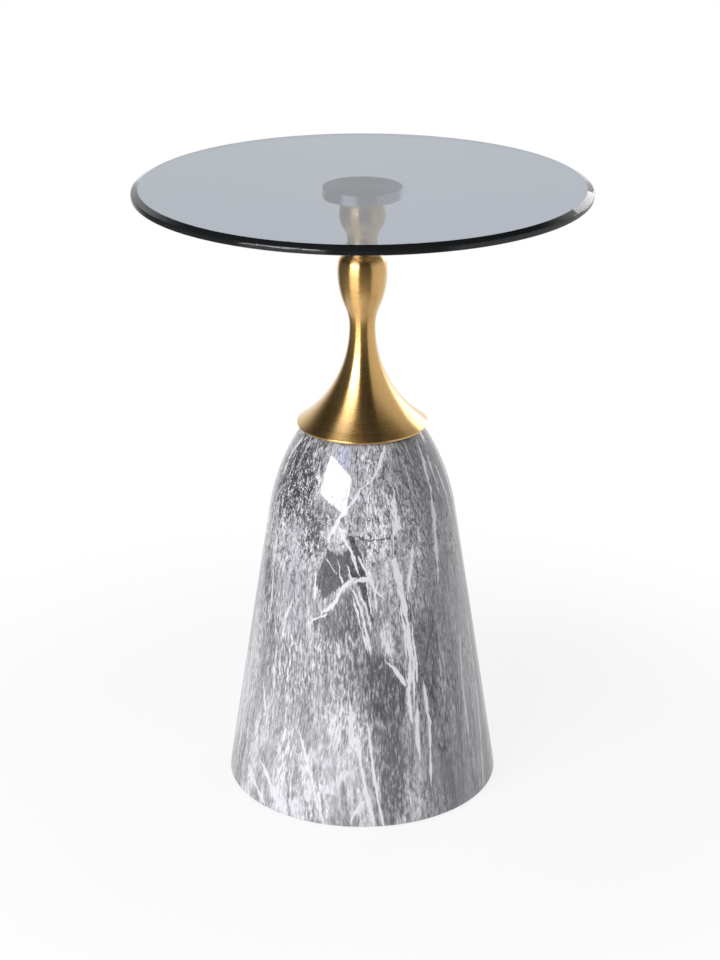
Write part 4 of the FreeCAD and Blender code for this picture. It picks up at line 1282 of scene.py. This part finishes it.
FITTINGS = {
    "neck_bush": zinc, "seat_plate": zinc, "crown_plate": zinc, "clamp_washer": zinc, "clamp_nut": zinc,
    "tie_rod": zinc, "ballast_nuts": zinc, "skirt_gasket": rubber, "ballast_disc": iron,
    "bottom_plate": powder_coat,
}
for node, finish in FITTINGS.items():
    dress(node, finish)
print(len(FITTINGS), "fittings dressed")

# %% Plywood ring
PLY = 2.0 * MM
FACE_GRAIN = ((0.42, 0.27, 0.13, 1.0), (0.62, 0.45, 0.26, 1.0))
END_GRAIN = ((0.24, 0.14, 0.065, 1.0), (0.40, 0.25, 0.12, 1.0))


def make_plywood_finish():
    """Thin layers of wood, one over the other, whose grain turns by a quarter from layer to layer."""
    material, board = new_finish("birch_plywood")
    place = board.place()
    up = board.add("ShaderNodeSeparateXYZ", None, Vector=place).outputs["Z"]
    layer = board.math("PINGPONG", board.math("DIVIDE", up, PLY), 1.0)
    grain = board.noise(board.stretch(place, (30.0, 260.0, 260.0)), 1.0, 4.0, 0.6)
    streaks = board.remap(grain, 0.3, 0.7)
    face = board.blend(streaks, *FACE_GRAIN)
    end = board.blend(streaks, *END_GRAIN)
    colour = board.blend(board.remap(layer, 0.42, 0.58), face, end)
    rough = board.remap(grain, 0.3, 0.7, 0.55, 0.75)
    board.show(board.add("ShaderNodeBsdfPrincipled", None, Base_Color=colour, Roughness=rough,
                         Normal=board.bump(grain, 0.2, 0.3 * MM)))
    return material


dress("foot_ring", make_plywood_finish())
print("plywood ring dressed")

# %% [markdown]
# ## Under the table
#
# Turned over, the table shows its bottom plate, six screws and six soft pads. The pads are punched from
# felt, so their rims are round and their faces a little full. The screw heads are domed and carry a
# cross recess, which is cut out of each head with a boolean.

# %% Felt pads
PAD_ROUNDING = 1.2 * MM
PAD_TOP_ROUNDING = 0.3 * MM
PAD_CROWN = 0.3 * MM
PAD_SOLE = 0.6
PAD_SEGMENTS = 64


def make_pad(number):
    """One soft pad with a rounded rim and a slightly crowned sole."""
    node = f"foot_pad_{number}"
    low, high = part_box(node)
    radius = (high.x - low.x) / 2
    outline = soften([
        (0.0, low.z, 0.0),
        (PAD_SOLE * radius, low.z, 0.0),
        (radius, low.z + PAD_CROWN, PAD_ROUNDING),
        (radius, high.z, PAD_TOP_ROUNDING),
        (0.0, high.z, 0.0),
    ])
    mesh = turned_mesh(f"felt_pad_{number}", outline, PAD_SEGMENTS)
    middle = (low + high) / 2
    for vertex in mesh.vertices:
        vertex.co.x += middle.x
        vertex.co.y += middle.y
    return new_piece(f"felt_pad_{number}", mesh, felt, "foot_felt", node)


pads = [make_pad(number) for number in range(1, 7)]

# %% Plate screws
SCREW_COUNT = 6
SCREW_HEAD_RADIUS = 4.0 * MM
SCREW_HEAD_HEIGHT = 2.0 * MM
SCREW_DOME_HEIGHT = 0.55 * SCREW_HEAD_HEIGHT
SCREW_DOME_CURVE = 7.8 * MM
SCREW_DOME_STEPS = 10
SCREW_RADIUS = 2.0 * MM
SCREW_SEGMENTS = 48
SCREW_SHARP_EDGE = math.radians(35)
RECESS_LENGTH = 4.2 * MM
RECESS_WIDTH = 1.0 * MM
RECESS_DEPTH = 1.1 * MM


def box_mesh(name, size, middle):
    """A block, used only to cut with."""
    corners = [(middle[0] + size[0] * x / 2, middle[1] + size[1] * y / 2, middle[2] + size[2] * z / 2)
               for x in (-1, 1) for y in (-1, 1) for z in (-1, 1)]
    faces = [(0, 1, 3, 2), (4, 6, 7, 5), (0, 4, 5, 1), (2, 3, 7, 6), (0, 2, 6, 4), (1, 5, 7, 3)]
    mesh = bpy.data.meshes.new(name)
    mesh.from_pydata(corners, [], faces)
    return mesh


def cut(piece, tool_mesh):
    """Takes one mesh out of a piece for good."""
    tool = bpy.data.objects.new("cutter", tool_mesh)
    scene.collection.objects.link(tool)
    modifier = piece.modifiers.new("recess", "BOOLEAN")
    modifier.operation = "DIFFERENCE"
    modifier.object = tool
    modifier.solver = "EXACT"
    bpy.context.view_layer.update()
    evaluated = piece.evaluated_get(bpy.context.evaluated_depsgraph_get())
    piece.data = bpy.data.meshes.new_from_object(evaluated)
    piece.modifiers.clear()
    bpy.data.objects.remove(tool)


def make_screws():
    """One screw with a domed head and a cross recess, then five copies round the plate, as one piece."""
    low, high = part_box("plate_screws")
    circle = high.x - SCREW_HEAD_RADIUS
    dome_edge = (SCREW_HEAD_RADIUS, low.z + SCREW_DOME_HEIGHT)
    under_head = low.z + SCREW_HEAD_HEIGHT
    outline = arc_points((0.0, low.z), dome_edge, (0.0, low.z + SCREW_DOME_CURVE), SCREW_DOME_STEPS)
    outline += [(SCREW_HEAD_RADIUS, under_head), (SCREW_RADIUS, under_head),
                (SCREW_RADIUS, high.z - SCREW_RADIUS), (0.0, high.z)]
    screw = bpy.data.objects.new("one_screw", turned_mesh("one_screw", outline, SCREW_SEGMENTS))
    scene.collection.objects.link(screw)
    for size in ((RECESS_LENGTH, RECESS_WIDTH), (RECESS_WIDTH, RECESS_LENGTH)):
        cut(screw, box_mesh("recess", (*size, 2 * RECESS_DEPTH), (0.0, 0.0, low.z)))
    vertices, faces = [], []
    for step in range(SCREW_COUNT):
        turn = 2 * math.pi * step / SCREW_COUNT
        shift = (circle * math.cos(turn), circle * math.sin(turn))
        first = len(vertices)
        vertices += [(v.co.x + shift[0], v.co.y + shift[1], v.co.z) for v in screw.data.vertices]
        faces += [[first + i for i in polygon.vertices] for polygon in screw.data.polygons]
    bpy.data.objects.remove(screw)
    mesh = bpy.data.meshes.new("plate_screw_set")
    mesh.from_pydata(vertices, [], faces)
    mesh.shade_smooth()
    mesh.set_sharp_from_angle(angle=SCREW_SHARP_EDGE)
    return new_piece("plate_screw_set", mesh, zinc, "plain_steel", "plate_screws")


plate_screw_set = make_screws()

# %% [markdown]
